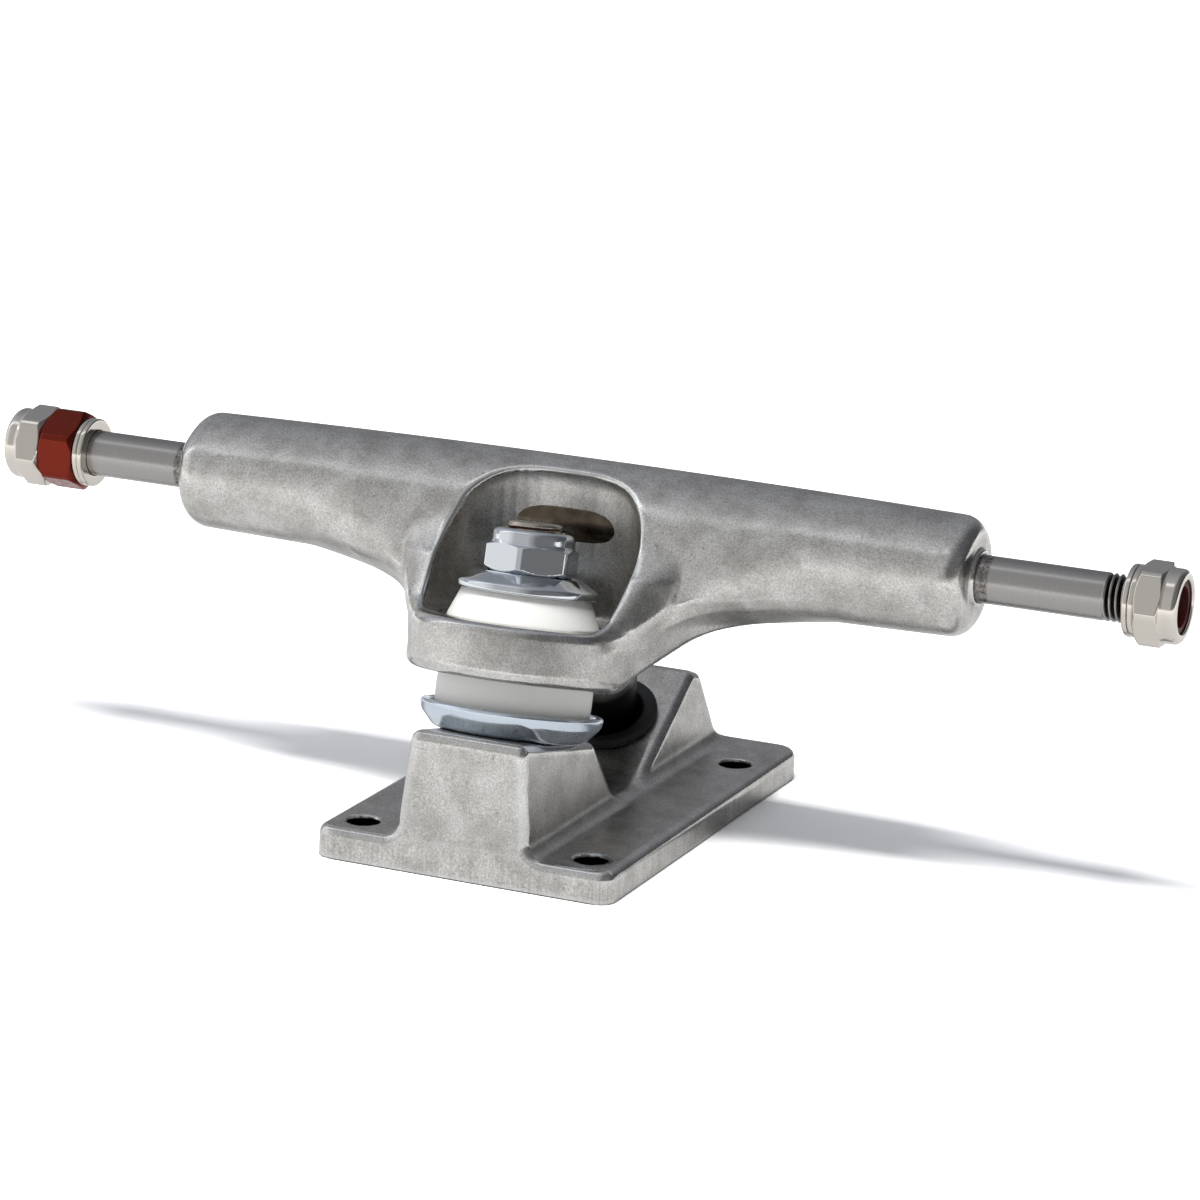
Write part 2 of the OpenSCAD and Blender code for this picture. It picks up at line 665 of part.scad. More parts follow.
module thread_chaser_nut() {
    corner_r = axle_nut_af / sqrt(3);
    chamfer = corner_r - axle_nut_af / 2;
    color(red_anodised) on_axle() mirror([0, 0, 1]) translate([0, 0, left_nut_x])
        rotate([0, 0, chaser_turn]) difference() {
            intersection() {
                cylinder(r = corner_r, h = chaser_h, $fn = 6);
                rotate_extrude() polygon([[0, 0], [axle_nut_af / 2, 0], [corner_r, chamfer],
                    [corner_r, chaser_h - chamfer], [axle_nut_af / 2, chaser_h], [0, chaser_h]]);
            }
            translate([0, 0, -past]) cylinder(r = axle_r + thread_gap, h = chaser_h + 2 * past);
        }
}

module left_inner_washer() {
    color(zinc) on_axle() translate([0, 0, washer_t - left_nut_x]) speed_washer();
}

module left_outer_washer() {
    color(zinc) on_axle() translate([0, 0, -left_nut_x]) speed_washer();
}

module right_inner_washer() {
    color(zinc) on_axle() translate([0, 0, right_nut_x - 2 * washer_t]) speed_washer();
}

module right_outer_washer() {
    color(zinc) on_axle() translate([0, 0, right_nut_x - washer_t]) speed_washer();
}

baseplate();
pivot_cup();
kingpin();
kingpin_nut();
kingpin_nut_insert();
top_cup_washer();
top_bushing();
bottom_bushing();
bottom_cup_washer();
hanger();
axle();
left_axle_nut();
left_axle_nut_insert();
thread_chaser_nut();
right_axle_nut();
right_axle_nut_insert();
left_inner_washer();
left_outer_washer();
right_inner_washer();
right_outer_washer();
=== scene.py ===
"""Skateboard truck: cast and turned surfaces, nuts and bushings with their finishes, and a plain studio.

Lengths are in millimetres until a mesh is written, in the row's own frame: the origin is the centre of
the deck bolts under the baseplate, +X runs along the axle, +Z up, and the kingpin stands on the -Y side.
"""

from __future__ import annotations

import logging
import math
from dataclasses import dataclass, field
from enum import Enum
from typing import Any, Callable, Sequence

import bmesh
import bpy
import numpy as np
from mathutils import Matrix, Vector

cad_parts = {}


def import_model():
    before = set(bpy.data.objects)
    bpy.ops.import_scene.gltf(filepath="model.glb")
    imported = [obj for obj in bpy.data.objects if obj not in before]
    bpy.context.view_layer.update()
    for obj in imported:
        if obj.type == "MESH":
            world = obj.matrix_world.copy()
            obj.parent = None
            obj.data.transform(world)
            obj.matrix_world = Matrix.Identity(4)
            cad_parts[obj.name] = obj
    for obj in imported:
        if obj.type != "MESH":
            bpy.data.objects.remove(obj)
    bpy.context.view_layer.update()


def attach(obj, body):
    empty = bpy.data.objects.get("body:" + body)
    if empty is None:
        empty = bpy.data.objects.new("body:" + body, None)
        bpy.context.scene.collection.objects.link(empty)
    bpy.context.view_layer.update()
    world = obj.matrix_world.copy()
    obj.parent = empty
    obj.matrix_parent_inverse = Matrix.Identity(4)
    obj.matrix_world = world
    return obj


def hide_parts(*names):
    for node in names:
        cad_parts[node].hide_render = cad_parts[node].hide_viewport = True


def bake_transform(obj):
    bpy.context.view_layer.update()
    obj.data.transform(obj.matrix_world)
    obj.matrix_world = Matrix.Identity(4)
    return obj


LOG = logging.getLogger("truck")

Array = np.ndarray
Solid = Callable[[Array], Array]

MM = 0.001


# Colours and shader nodes


def linear(hex_code: str, alpha: float = 1.0) -> tuple[float, float, float, float]:
    """Turns an sRGB hex colour to linear light.

    Args:
        hex_code: six hex digits after a hash.
        alpha: the opacity to add.

    Returns:
        Red, green, blue and alpha, from 0 to 1.
    """
    parts = [int(hex_code[i : i + 2], 16) / 255 for i in (1, 3, 5)]
    red, green, blue = [c / 12.92 if c <= 0.04045 else ((c + 0.055) / 1.055) ** 2.4 for c in parts]
    return red, green, blue, alpha


def per_mm(size: float) -> float:
    """Returns the scale at which a pattern repeats about every size millimetres."""
    return 1 / (size * MM)


def add_node(
    tree: bpy.types.NodeTree,
    kind: str,
    inputs: dict[Any, Any] | Sequence[Any] = (),
    stops: Sequence[tuple[float, str]] = (),
    to: bpy.types.NodeSocket | None = None,
    **settings: Any,
) -> bpy.types.Node:
    """Adds a node to a tree.

    Args:
        tree: the material's or world's tree.
        kind: the node's type, without the word in front that all shader nodes share.
        inputs: a constant, node or output for each input in order, or for each that is named.
        stops: places and hex colours of a colour ramp, in order.
        to: the input that the node feeds.
        settings: the node's own properties.

    Returns:
        The new node.
    """
    node = tree.nodes.new("ShaderNode" + kind)
    for name, value in settings.items():
        setattr(node, name, value)
    for key, value in (inputs if isinstance(inputs, dict) else dict(enumerate(inputs))).items():
        if isinstance(value, bpy.types.Node):
            value = next(out for out in value.outputs if out.enabled)
        if isinstance(value, bpy.types.NodeSocket):
            tree.links.new(value, node.inputs[key])
        else:
            node.inputs[key].default_value = value
    for i, (place, code) in enumerate(stops):
        elements = node.color_ramp.elements
        element = elements[i] if i < len(elements) else elements.new(place)
        element.position, element.color = place, linear(code)
    if to:
        tree.links.new(next(out for out in node.outputs if out.enabled), to)
    return node


@dataclass(frozen=True)
class Finish:
    """A finish with one colour, which the others build on; by itself it is dull moulded nylon."""

    name: str
    slot: str
    colour: str
    roughness: float
    metallic: float = 0.0

    def material(self) -> bpy.types.Material:
        """Returns the finish's material, made once."""
        made = bpy.data.materials.get(self.name)
        if made:
            return made
        made = bpy.data.materials.new(self.name)
        made.use_nodes = True
        tree = made.node_tree
        sockets = tree.nodes["Principled BSDF"].inputs
        sockets["Base Color"].default_value = linear(self.colour)
        sockets["Metallic"].default_value = self.metallic
        sockets["Roughness"].default_value = self.roughness
        self.pattern(tree, sockets, add_node(tree, "TexCoord").outputs["Object"])
        return made

    def pattern(self, tree: bpy.types.NodeTree, sockets: Any, place: bpy.types.NodeSocket) -> None:
        """Mottles the roughness every few millimetres, as on moulded nylon.

        Args:
            tree: the material's nodes.
            sockets: the shader's inputs.
            place: the output that gives the piece's own coordinates.
        """
        cloud = add_node(tree, "TexNoise", {"Vector": place, "Scale": per_mm(3.0), "Detail": 3.0})
        self.vary_roughness(tree, sockets, cloud, 0.85, 1.2)

    def vary_roughness(
        self, tree: bpy.types.NodeTree, sockets: Any, pattern: bpy.types.Node, low: float, high: float
    ) -> None:
        """Lets the roughness follow a pattern, between low and high times the finish's own."""
        limits = (pattern, 0.3, 0.7, self.roughness * low, self.roughness * high)
        add_node(tree, "MapRange", limits, to=sockets["Roughness"])


@dataclass(frozen=True)
class TumbledCasting(Finish):
    """Raw cast aluminium, tumbled with stones: an even satin grey with a grain finer than half a
    millimetre, pin-sized dark pits, faint stains and edges rubbed a little brighter.

    Tumbling polishes the outer edges, and the foot is brushed upright by its machining. The mesh's
    attribute "edge" is above 0 on outer edges, another attribute is 1 where shade is painted on, near-black,
    over the bolt-hole walls and the pivot stem, and "brushed" is 1 on the machined foot. Sizes are in
    millimetres.
    """

    stained: str = "#bfbcb7"
    pit: str = "#5c5a57"
    bright: str = "#dadada"
    # painted shade: the near-black laid over the bolt-hole walls and the pivot stem where their shadow falls
    painted_shade: str = "#1d1d1e"
    polished: float = 0.17
    stain_size: float = 5.5
    grain_size: float = 0.3
    pit_size: float = 1.1
    swell_size: float = 6.0
    line_size: tuple[float, float] = (0.4, 9.0)
    grain_height: float = 0.012
    swell_height: float = 0.05

    def pattern(self, tree: bpy.types.NodeTree, sockets: Any, place: bpy.types.NodeSocket) -> None:
        """Lays stains, grain, pits, rubbed edges, painted shade and brushing over each other, and raises the
        grain.

        Args:
            tree: the material's nodes.
            sockets: the shader's inputs.
            place: the output that gives the piece's own coordinates.
        """
        edge, painted_shade, foot = (
            add_node(tree, "Attribute", attribute_name=name).outputs["Fac"]
            for name in ("edge", "painted_shade", "brushed")
        )
        stain, grain, pits, swell = (
            add_node(
                tree, "TexNoise",
                {"Vector": place, "Scale": per_mm(size), "Detail": detail, "Roughness": rough},
            )
            for size, detail, rough in (
                (self.stain_size, 6.0, 0.62), (self.grain_size, 2.0, 0.5),
                (self.pit_size, 4.0, 0.7), (self.swell_size, 1.0, 0.5),
            )
        )
        base = add_node(tree, "ValToRGB", (stain,), [(0.35, self.stained), (0.6, self.colour)])
        grained = add_node(tree, "MapRange", (grain, 0.3, 0.7, 0.7, 1.15))
        base = add_node(tree, "VectorMath", {0: base, 3: grained}, operation="SCALE")
        pitted = add_node(tree, "MapRange", (pits, 0.31, 0.35, 0.55, 0.0))
        rubbed = add_node(tree, "MapRange", (edge, 0.3, 0.8, 0.0, 0.45))
        # the last mix paints shade, near-black, where the shade attribute is 1
        for amount, code in ((pitted, self.pit), (rubbed, self.bright), (painted_shade, self.painted_shade)):
            base = add_node(tree, "Mix", {"Factor": amount, "A": base, "B": linear(code)}, data_type="RGBA")
        fine, long = (per_mm(size) for size in self.line_size)
        upright = add_node(tree, "Mapping", {"Vector": place, "Scale": (fine, fine, long)})
        lines = add_node(tree, "TexNoise", {"Vector": upright, "Scale": 1.0, "Detail": 2.0})
        lines = add_node(tree, "MapRange", (lines, 0.3, 0.7, 0.9, 1.16))
        lines = add_node(tree, "Mix", {"Factor": foot, "A": 1.0, "B": lines}, data_type="FLOAT")
        add_node(tree, "VectorMath", {0: base, 3: lines}, to=sockets["Base Color"], operation="SCALE")
        matt = add_node(tree, "MapRange", (stain, 0.3, 0.7, self.roughness * 0.92, self.roughness * 1.1))
        shine = add_node(tree, "MapRange", (edge, 0.07, 0.35))
        shine = add_node(tree, "Mix", {"Factor": shine, "A": matt, "B": self.polished}, data_type="FLOAT")
        tree.links.new(shine.outputs[0], sockets["Roughness"])
        raised = {"Height": grain, "Strength": 1.0, "Distance": self.grain_height * MM}
        raised = add_node(tree, "Bump", raised)
        wavy = {"Height": swell, "Strength": 1.0, "Distance": self.swell_height * MM, "Normal": raised}
        add_node(tree, "Bump", wavy, to=sockets["Normal"])


@dataclass(frozen=True)
class TurnedSteel(Finish):
    """Ground steel bar: fine rings round the shaft, a brown oxide bloom inside the casting, scars where
    it was pressed in, and oily black between the threads, partly real and partly painted shade, where the
    shade attribute is 1.

    Sizes are in millimetres, and bloom_reach and root are distances from the middle of the bar.
    """

    bloom: str = "#4a4138"
    bloom_light: str = "#6a6053"
    # oily black and painted shade, laid in the thread grooves
    oil_and_painted_shade: str = "#15110f"
    bloom_reach: float = 14.0
    clear: float = 40.0
    root: float = 74.4
    bloom_size: float = 2.5
    scar_size: float = 0.45
    ring_size: tuple[float, float] = (0.35, 21.0)
    ring_height: float = 0.001

    def pattern(self, tree: bpy.types.NodeTree, sockets: Any, place: bpy.types.NodeSocket) -> None:
        """Cuts rings every few tenths of a millimetre along X, and lays the bloom and the scars by |X|.

        Args:
            tree: the material's nodes.
            sockets: the shader's inputs.
            place: the output that gives the piece's own coordinates.
        """
        across = add_node(tree, "SeparateXYZ", (place,)).outputs[0]
        away = add_node(tree, "Math", (across,), operation="ABSOLUTE")
        reach, clear, root = self.bloom_reach * MM, self.clear * MM, self.root * MM
        inside = add_node(tree, "MapRange", (away, reach, reach * 1.2, 1.0, 0.0))
        cloud = add_node(tree, "TexNoise", {"Vector": place, "Scale": per_mm(self.bloom_size), "Detail": 4.0})
        patchy = add_node(tree, "ValToRGB", (cloud,), [(0.35, self.bloom), (0.7, self.bloom_light)])
        scars = {"Vector": place, "Scale": per_mm(self.scar_size), "Detail": 4.0, "Distortion": 0.6}
        scars = add_node(tree, "MapRange", (add_node(tree, "TexNoise", scars), 0.35, 0.65, 0.1, 0.9))
        for limits in ((away, clear, clear + MM), (away, root, root + 0.4 * MM, 1.0, 0.0)):
            band = add_node(tree, "MapRange", limits)
            scars = add_node(tree, "Math", (scars, band), operation="MULTIPLY")
        painted_shade = add_node(tree, "Attribute", attribute_name="painted_shade").outputs["Fac"]
        mixed: Any = linear(self.colour)
        # the last mix lays oily black and painted shade in the thread grooves
        for amount, over in ((inside, patchy), (scars, linear(self.bloom)), (painted_shade, linear(self.oil_and_painted_shade))):
            mixed = add_node(tree, "Mix", {"Factor": amount, "A": mixed, "B": over}, data_type="RGBA")
        tree.links.new(mixed.outputs["Result"], sockets["Base Color"])
        fine, long = (per_mm(size) for size in self.ring_size)
        stretch = add_node(tree, "Mapping", {"Vector": place, "Scale": (fine, long, long)})
        rings = add_node(tree, "TexNoise", {"Vector": stretch, "Scale": 1.0, "Detail": 2.0})
        raised = {"Height": rings, "Strength": 1.0, "Distance": self.ring_height * MM}
        add_node(tree, "Bump", raised, to=sockets["Normal"])
        self.vary_roughness(tree, sockets, rings, 0.92, 1.1)


@dataclass(frozen=True)
class BrightPlate(Finish):
    """Zinc or nickel plate, or dyed anodising, on pressed metal: mirror-like with soft dents."""

    dents: float = 0.02

    def pattern(self, tree: bpy.types.NodeTree, sockets: Any, place: bpy.types.NodeSocket) -> None:
        """Raises soft dents a few millimetres wide, and clouds the shine faintly.

        Args:
            tree: the material's nodes.
            sockets: the shader's inputs.
            place: the output that gives the piece's own coordinates.
        """
        soft = add_node(tree, "TexNoise", {"Vector": place, "Scale": per_mm(3.0), "Detail": 2.0})
        raised = {"Height": soft, "Strength": 1.0, "Distance": self.dents * MM}
        add_node(tree, "Bump", raised, to=sockets["Normal"])
        cloud = add_node(tree, "TexNoise", {"Vector": place, "Scale": per_mm(1.2), "Detail": 3.0})
        self.vary_roughness(tree, sockets, cloud, 0.7, 1.5)


@dataclass(frozen=True)
class CastUrethane(Finish):
    """Poured urethane: a waxy, slightly see-through body with a satin skin."""

    glow: float = 0.25

    def pattern(self, tree: bpy.types.NodeTree, sockets: Any, place: bpy.types.NodeSocket) -> None:
        """Lets light into the body, and raises a faint waviness from the mould.

        Args:
            tree: the material's nodes.
            sockets: the shader's inputs.
            place: the output that gives the piece's own coordinates.
        """
        sockets["Subsurface Weight"].default_value = self.glow
        sockets["Subsurface Radius"].default_value = (1.0, 0.9, 0.75)
        sockets["Subsurface Scale"].default_value = 2 * MM
        sockets["IOR"].default_value = 1.5
        swell = add_node(tree, "TexNoise", {"Vector": place, "Scale": per_mm(6.0), "Detail": 1.0})
        raised = {"Height": swell, "Strength": 1.0, "Distance": 0.03 * MM}
        add_node(tree, "Bump", raised, to=sockets["Normal"])


CASTING = TumbledCasting("tumbled_cast_aluminium", "cast_aluminium", "#dad8d4", 0.36, 1.0)
AXLE_STEEL = TurnedSteel("turned_axle_steel", "axle_steel", "#a9a6a3", 0.26, 1.0)
KINGPIN_STEEL = BrightPlate("plated_kingpin_steel", "kingpin_steel", "#b3aba0", 0.24, 1.0)
ZINC = BrightPlate("bright_zinc_plate", "bright_zinc", "#d6dade", 0.07, 1.0, 0.012)
CUP_ZINC = BrightPlate("satin_zinc_plate", "bright_zinc", "#d2dce6", 0.2, 1.0, 0.004)
NICKEL = BrightPlate("bright_nickel_plate", "nickel", "#d8d2c9", 0.1, 1.0)
RED = BrightPlate("red_anodised_nut", "red_anodised", "#7a2d22", 0.24, 1.0)
WHITE_URETHANE = CastUrethane("white_cast_urethane", "white_urethane", "#f1f0ec", 0.32)
BLACK_URETHANE = CastUrethane("black_cast_urethane", "black_urethane", "#0f0f10", 0.6, 0.0, 0.0)
NYLON = Finish("dark_red_nylon", "insert_nylon", "#4a1714", 0.45)


# Frames that the turned pieces stand in


@dataclass(frozen=True)
class Stand:
    """A place and a direction: local z runs along axis, and local x lies as near +X as it can."""

    origin: tuple[float, float, float]
    axis: tuple[float, float, float]
    side: tuple[float, float, float] = (1.0, 0.0, 0.0)

    def basis(self) -> Array:
        """Returns the three unit vectors of the frame, one in each row."""
        z = np.array(self.axis, float) / np.linalg.norm(self.axis)
        x = np.array(self.side, float)
        x = x - z * (x @ z)
        x /= np.linalg.norm(x)
        return np.array([x, np.cross(z, x), z])

    def turned(self, degrees: float) -> Stand:
        """Turns the side direction about the axis.

        Args:
            degrees: how far, anticlockwise as seen from the axis' tip.

        Returns:
            The turned stand.
        """
        side, across, _ = self.basis()
        angle = math.radians(degrees)
        return Stand(self.origin, self.axis, tuple(side * math.cos(angle) + across * math.sin(angle)))

    def to_row(self, points: Array) -> Array:
        """Returns local points as points of the row frame."""
        return points @ self.basis() + np.array(self.origin)

    def along(self, points: Array) -> tuple[Array, Array]:
        """Returns each row point's place along the axis and its distance from it."""
        local = (points - np.array(self.origin)) @ self.basis().T
        return local[..., 2], np.hypot(local[..., 0], local[..., 1])


LEAN = math.radians(12.6)
PIVOT_SLOPE = math.radians(28.0)
AXLE = Stand((0.0, 4.1, 52.1), (1.0, 0.0, 0.0), (0.0, 1.0, 0.0))
KINGPIN = Stand((0.0, -17.0, 34.6), (0.0, math.sin(LEAN), math.cos(LEAN)))
PIVOT = Stand(
    (0.0, 22.1 + 3.5 * math.sin(PIVOT_SLOPE), 13.5 - 3.5 * math.cos(PIVOT_SLOPE)),
    (0.0, -math.sin(PIVOT_SLOPE), math.cos(PIVOT_SLOPE)),
)
AXLE_R = 3.97
KINGPIN_R = 4.75
NUT_COLUMNS = 240
SLAB = 24  # layers of the grid that are worked out at once
FLATTEST = 0.05  # smallest squared slope that a vertex slides down by


# Solids as signed distances


def round_union(a: Array, b: Array, radius: float | Array) -> Array:
    """Joins two solids with a fillet: the distance is measured to a circle in the corner between them."""
    corner = np.hypot(np.maximum(radius - a, 0), np.maximum(radius - b, 0))
    return np.maximum(radius, np.minimum(a, b)) - corner


def round_meet(a: Array, b: Array, radius: float | Array) -> Array:
    """Keeps what two solids share, with the edge between them rounded to a radius."""
    corner = np.hypot(np.maximum(radius + a, 0), np.maximum(radius + b, 0))
    return np.minimum(-radius, np.maximum(a, b)) + corner


class Outline:
    """A rounded polygon whose signed distance is worked out once on a table and read off between its points.

    The distance is to the nearest side, below 0 where a ray to the right crosses an odd number of sides.
    """

    def __init__(self, corners: Sequence[Sequence[float]], reach: float = 8.0, step: float = 0.25) -> None:
        """Fills the table.

        Args:
            corners: points (x, y) or (x, y, radius), in order.
            reach: how far the table goes past the outline.
            step: distance between the table's points.
        """
        path = rounded(corners, steps=12)
        self.low, self.step = path.min(0) - reach, step
        counts = np.ceil((path.max(0) + reach - self.low) / step).astype(int) + 1
        x = (self.low[0] + np.arange(counts[0]) * step)[:, None]
        y = (self.low[1] + np.arange(counts[1]) * step)[None]
        nearest = np.full(tuple(counts), np.inf)
        inside = np.zeros(tuple(counts), bool)
        for (ax, ay), (bx, by) in zip(path, np.roll(path, -1, axis=0)):
            dx, dy = bx - ax, by - ay
            if dx == 0 and dy == 0:
                continue
            t = np.clip(((x - ax) * dx + (y - ay) * dy) / (dx * dx + dy * dy), 0, 1)
            nearest = np.minimum(nearest, np.hypot(x - ax - t * dx, y - ay - t * dy))
            if dy != 0:
                inside ^= ((ay > y) != (by > y)) & (x < ax + (y - ay) * dx / dy)
        self.table = np.where(inside, -nearest, nearest)

    def __call__(self, x: Array, y: Array) -> Array:
        """Reads the table, from the four of its points that lie round each place.

        Args:
            x: first coordinate of each place.
            y: second coordinate.

        Returns:
            The signed distance at each place.
        """
        i = np.clip((x - self.low[0]) / self.step, 0, self.table.shape[0] - 1.001)
        j = np.clip((y - self.low[1]) / self.step, 0, self.table.shape[1] - 1.001)
        m, n = i.astype(np.int32), j.astype(np.int32)
        i, j = i - m, j - n
        t = self.table
        low = t[m, n] * (1 - i) + t[m + 1, n] * i
        high = t[m, n + 1] * (1 - i) + t[m + 1, n + 1] * i
        return low * (1 - j) + high * j


def surface_of(solid: Solid, low: Sequence[float], high: Sequence[float], step: float) -> tuple[Array, Array]:
    """Meshes the surface of a solid with one vertex in each cell that it crosses.

    The vertex starts at the mean of the crossings on the cell's edges, and then slides down the slope
    of the distance until it lies on the surface.

    Args:
        solid: signed distance of many points.
        low: lowest corner of the box that holds the solid.
        high: highest corner.
        step: size of a cell.

    Returns:
        Points, and faces of four point numbers.
    """
    axes = [np.arange(a, b + step, step) for a, b in zip(low, high)]
    shape = tuple(len(a) for a in axes)
    values = np.empty(shape, np.float32)
    flat_yz = np.stack(np.meshgrid(axes[1], axes[2], indexing="ij"), -1).reshape(-1, 2)
    for start in range(0, shape[0], SLAB):
        xs = axes[0][start : start + SLAB]
        points = np.empty((len(xs), len(flat_yz), 3))
        points[..., 0] = xs[:, None]
        points[..., 1:] = flat_yz[None]
        values[start : start + SLAB] = solid(points).reshape(len(xs), shape[1], shape[2])
    strides = np.array([shape[1] * shape[2], shape[2], 1])
    cells, spots, quads = [], [], []
    for axis in range(3):
        first = [slice(None)] * 3
        second = [slice(None)] * 3
        first[axis], second[axis] = slice(0, -1), slice(1, None)
        a, b = values[tuple(first)], values[tuple(second)]
        at = np.stack(np.nonzero((a < 0) != (b < 0)), -1)
        va, vb = a[tuple(at.T)], b[tuple(at.T)]
        spot = at.astype(float)
        spot[:, axis] += va / (va - vb)
        u, v = (axis + 1) % 3, (axis + 2) % 3
        corner = at @ strides
        du, dv = strides[u], strides[v]
        ring = np.stack([corner - du - dv, corner - dv, corner, corner - du], -1)
        quads.append(np.where((va < 0)[:, None], ring, ring[:, ::-1]))
        cells.append(ring.ravel())
        spots.append(np.repeat(spot, 4, axis=0))
    cell, inverse = np.unique(np.concatenate(cells), return_inverse=True)
    spot = np.concatenate(spots)
    count = np.bincount(inverse)
    points = np.stack([np.bincount(inverse, spot[:, i]) / count for i in range(3)], -1)
    points = np.array(low) + points * step
    faces = np.searchsorted(cell, np.concatenate(quads))
    furthest = 0.4 * step
    for _ in range(3):
        value, slope = solid(points), slope_of(solid, points)
        shift = value[:, None] * slope / np.maximum((slope**2).sum(-1, keepdims=True), FLATTEST)
        points = points - np.clip(shift, -furthest, furthest)
    return points, faces


def slope_of(solid: Solid, points: Array, reach: float = 0.03) -> Array:
    """Measures how fast a distance grows along X, Y and Z, from its values a small reach to each side.

    Args:
        solid: signed distance of many points.
        points: where to measure.
        reach: how far to each side.

    Returns:
        Three slopes for each point.
    """
    shifts = np.eye(3) * reach
    return np.stack([(solid(points + shift) - solid(points - shift)) / (2 * reach) for shift in shifts], -1)


def sharpness(solid: Solid, points: Array, reach: float = 0.8) -> Array:
    """Measures how strongly a surface bends outwards, as the second differences of the distance added up.

    Args:
        solid: signed distance of many points.
        points: where to measure.
        reach: how far to each side.

    Returns:
        From 0 on a plane to 1 on an edge, and below 0 in a hollow.
    """
    total = -6 * solid(points)
    for shift in np.eye(3) * reach:
        total = total + solid(points + shift) + solid(points - shift)
    return np.clip(total / reach, -1, 1)


# Meshes


def write_mesh(name: str, points: Array, faces: Array) -> bpy.types.Object:
    """Makes a smooth object.

    Args:
        name: the object's name.
        points: its points, in millimetres of the row frame.
        faces: faces of four point numbers.

    Returns:
        The new object, in the scene.
    """
    mesh = bpy.data.meshes.new(name)
    mesh.vertices.add(len(points))
    mesh.vertices.foreach_set("co", (points * MM).astype(np.float32).ravel())
    mesh.loops.add(faces.size)
    mesh.loops.foreach_set("vertex_index", faces.astype(np.int32).ravel())
    mesh.polygons.add(len(faces))
    mesh.polygons.foreach_set("loop_start", np.arange(0, faces.size, 4, dtype=np.int32))
    mesh.update(calc_edges=True)
    mesh.validate()
    mesh.polygons.foreach_set("use_smooth", np.ones(len(mesh.polygons), bool))
    made = bpy.data.objects.new(name, mesh)
    bpy.context.scene.collection.objects.link(made)
    return made


def lap(rows: int, columns: int, closed: bool = True) -> Array:
    """Numbers the faces of a grid whose columns close on themselves.

    Args:
        rows: points along the profile.
        columns: points round the axis.
        closed: whether the last row joins the first.

    Returns:
        Faces of four point numbers.
    """
    last = rows if closed else rows - 1
    i, j = np.meshgrid(np.arange(last), np.arange(columns), indexing="ij")
    n, m = (i + 1) % rows, (j + 1) % columns
    return np.stack([i * columns + j, i * columns + m, n * columns + m, n * columns + j], -1).reshape(-1, 4)


def rounded(corners: Sequence[Sequence[float]], closed: bool = True, steps: int = 5) -> Array:
    """Rounds the corners of an outline.

    Args:
        corners: points (r, s) or (r, s, radius), in order.
        closed: whether the last corner joins the first.
        steps: pieces in each arc.

    Returns:
        The outline's points, with an arc in place of each corner that has a radius.
    """
    count = len(corners)
    out: list[Array] = []
    for i, corner in enumerate(corners):
        here = np.array(corner[:2], float)
        radius = corner[2] if len(corner) > 2 else 0.0
        if radius <= 0 or (not closed and i in (0, count - 1)):
            out.append(here[None])
            continue
        before = np.array(corners[i - 1][:2], float) - here
        after = np.array(corners[(i + 1) % count][:2], float) - here
        before /= np.linalg.norm(before)
        after /= np.linalg.norm(after)
        half = math.acos(float(np.clip(before @ after, -1, 1))) / 2
        middle = here + (before + after) / np.linalg.norm(before + after) * radius / math.sin(half)
        start = here + before * radius / math.tan(half) - middle
        stop = here + after * radius / math.tan(half) - middle
        a, b = math.atan2(start[1], start[0]), math.atan2(stop[1], stop[0])
        turn = (b - a + math.pi) % (2 * math.pi) - math.pi
        t = a + turn * np.linspace(0, 1, steps + 1)
        out.append(middle + radius * np.stack([np.cos(t), np.sin(t)], -1))
    return np.concatenate(out)


def resampled(outline: Array, gap: float, closed: bool = True) -> Array:
    """Adds points to an outline, so that none of its sides is long.

    Args:
        outline: points (r, s), in order.
        gap: the longest that a side may be.
        closed: whether the last point joins the first.

    Returns:
        The outline's points with those added.
    """
    ends = np.roll(outline, -1, axis=0) if closed else outline[1:]
    parts = []
    for a, b in zip(outline, ends):
        pieces = max(1, math.ceil(float(np.linalg.norm(b - a)) / gap))
        parts.append(a + (b - a) * np.arange(pieces)[:, None] / pieces)
    if not closed:
        parts.append(outline[-1:])
    return np.concatenate(parts)


def face_outwards(made: bpy.types.Object) -> None:
    """Merges doubled points, as at a pole, and turns every face outwards.

    Args:
        made: the object to mend.
    """
    work = bmesh.new()
    work.from_mesh(made.data)
    bmesh.ops.remove_doubles(work, verts=work.verts, dist=1e-6)
    bmesh.ops.recalc_face_normals(work, faces=work.faces)
    work.to_mesh(made.data)
    work.free()


def dress(made: bpy.types.Object, finish: Finish) -> None:
    """Puts a finish on a piece or a node."""
    made.data.materials.clear()
    made.data.materials.append(finish.material())


def finish_piece(made: bpy.types.Object, finish: Finish, node: str, body: str | None) -> None:
    """Gives a piece its finish and its place in the model.

    Args:
        made: the piece.
        finish: its finish, which knows its material slot.
        node: the node that it stands for.
        body: the body that it rides on, or None to leave it unattached.
    """
    dress(made, finish)
    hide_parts(node)
    if body:
        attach(made, body)
    LOG.info("%s: %d faces", made.name, len(made.data.polygons))


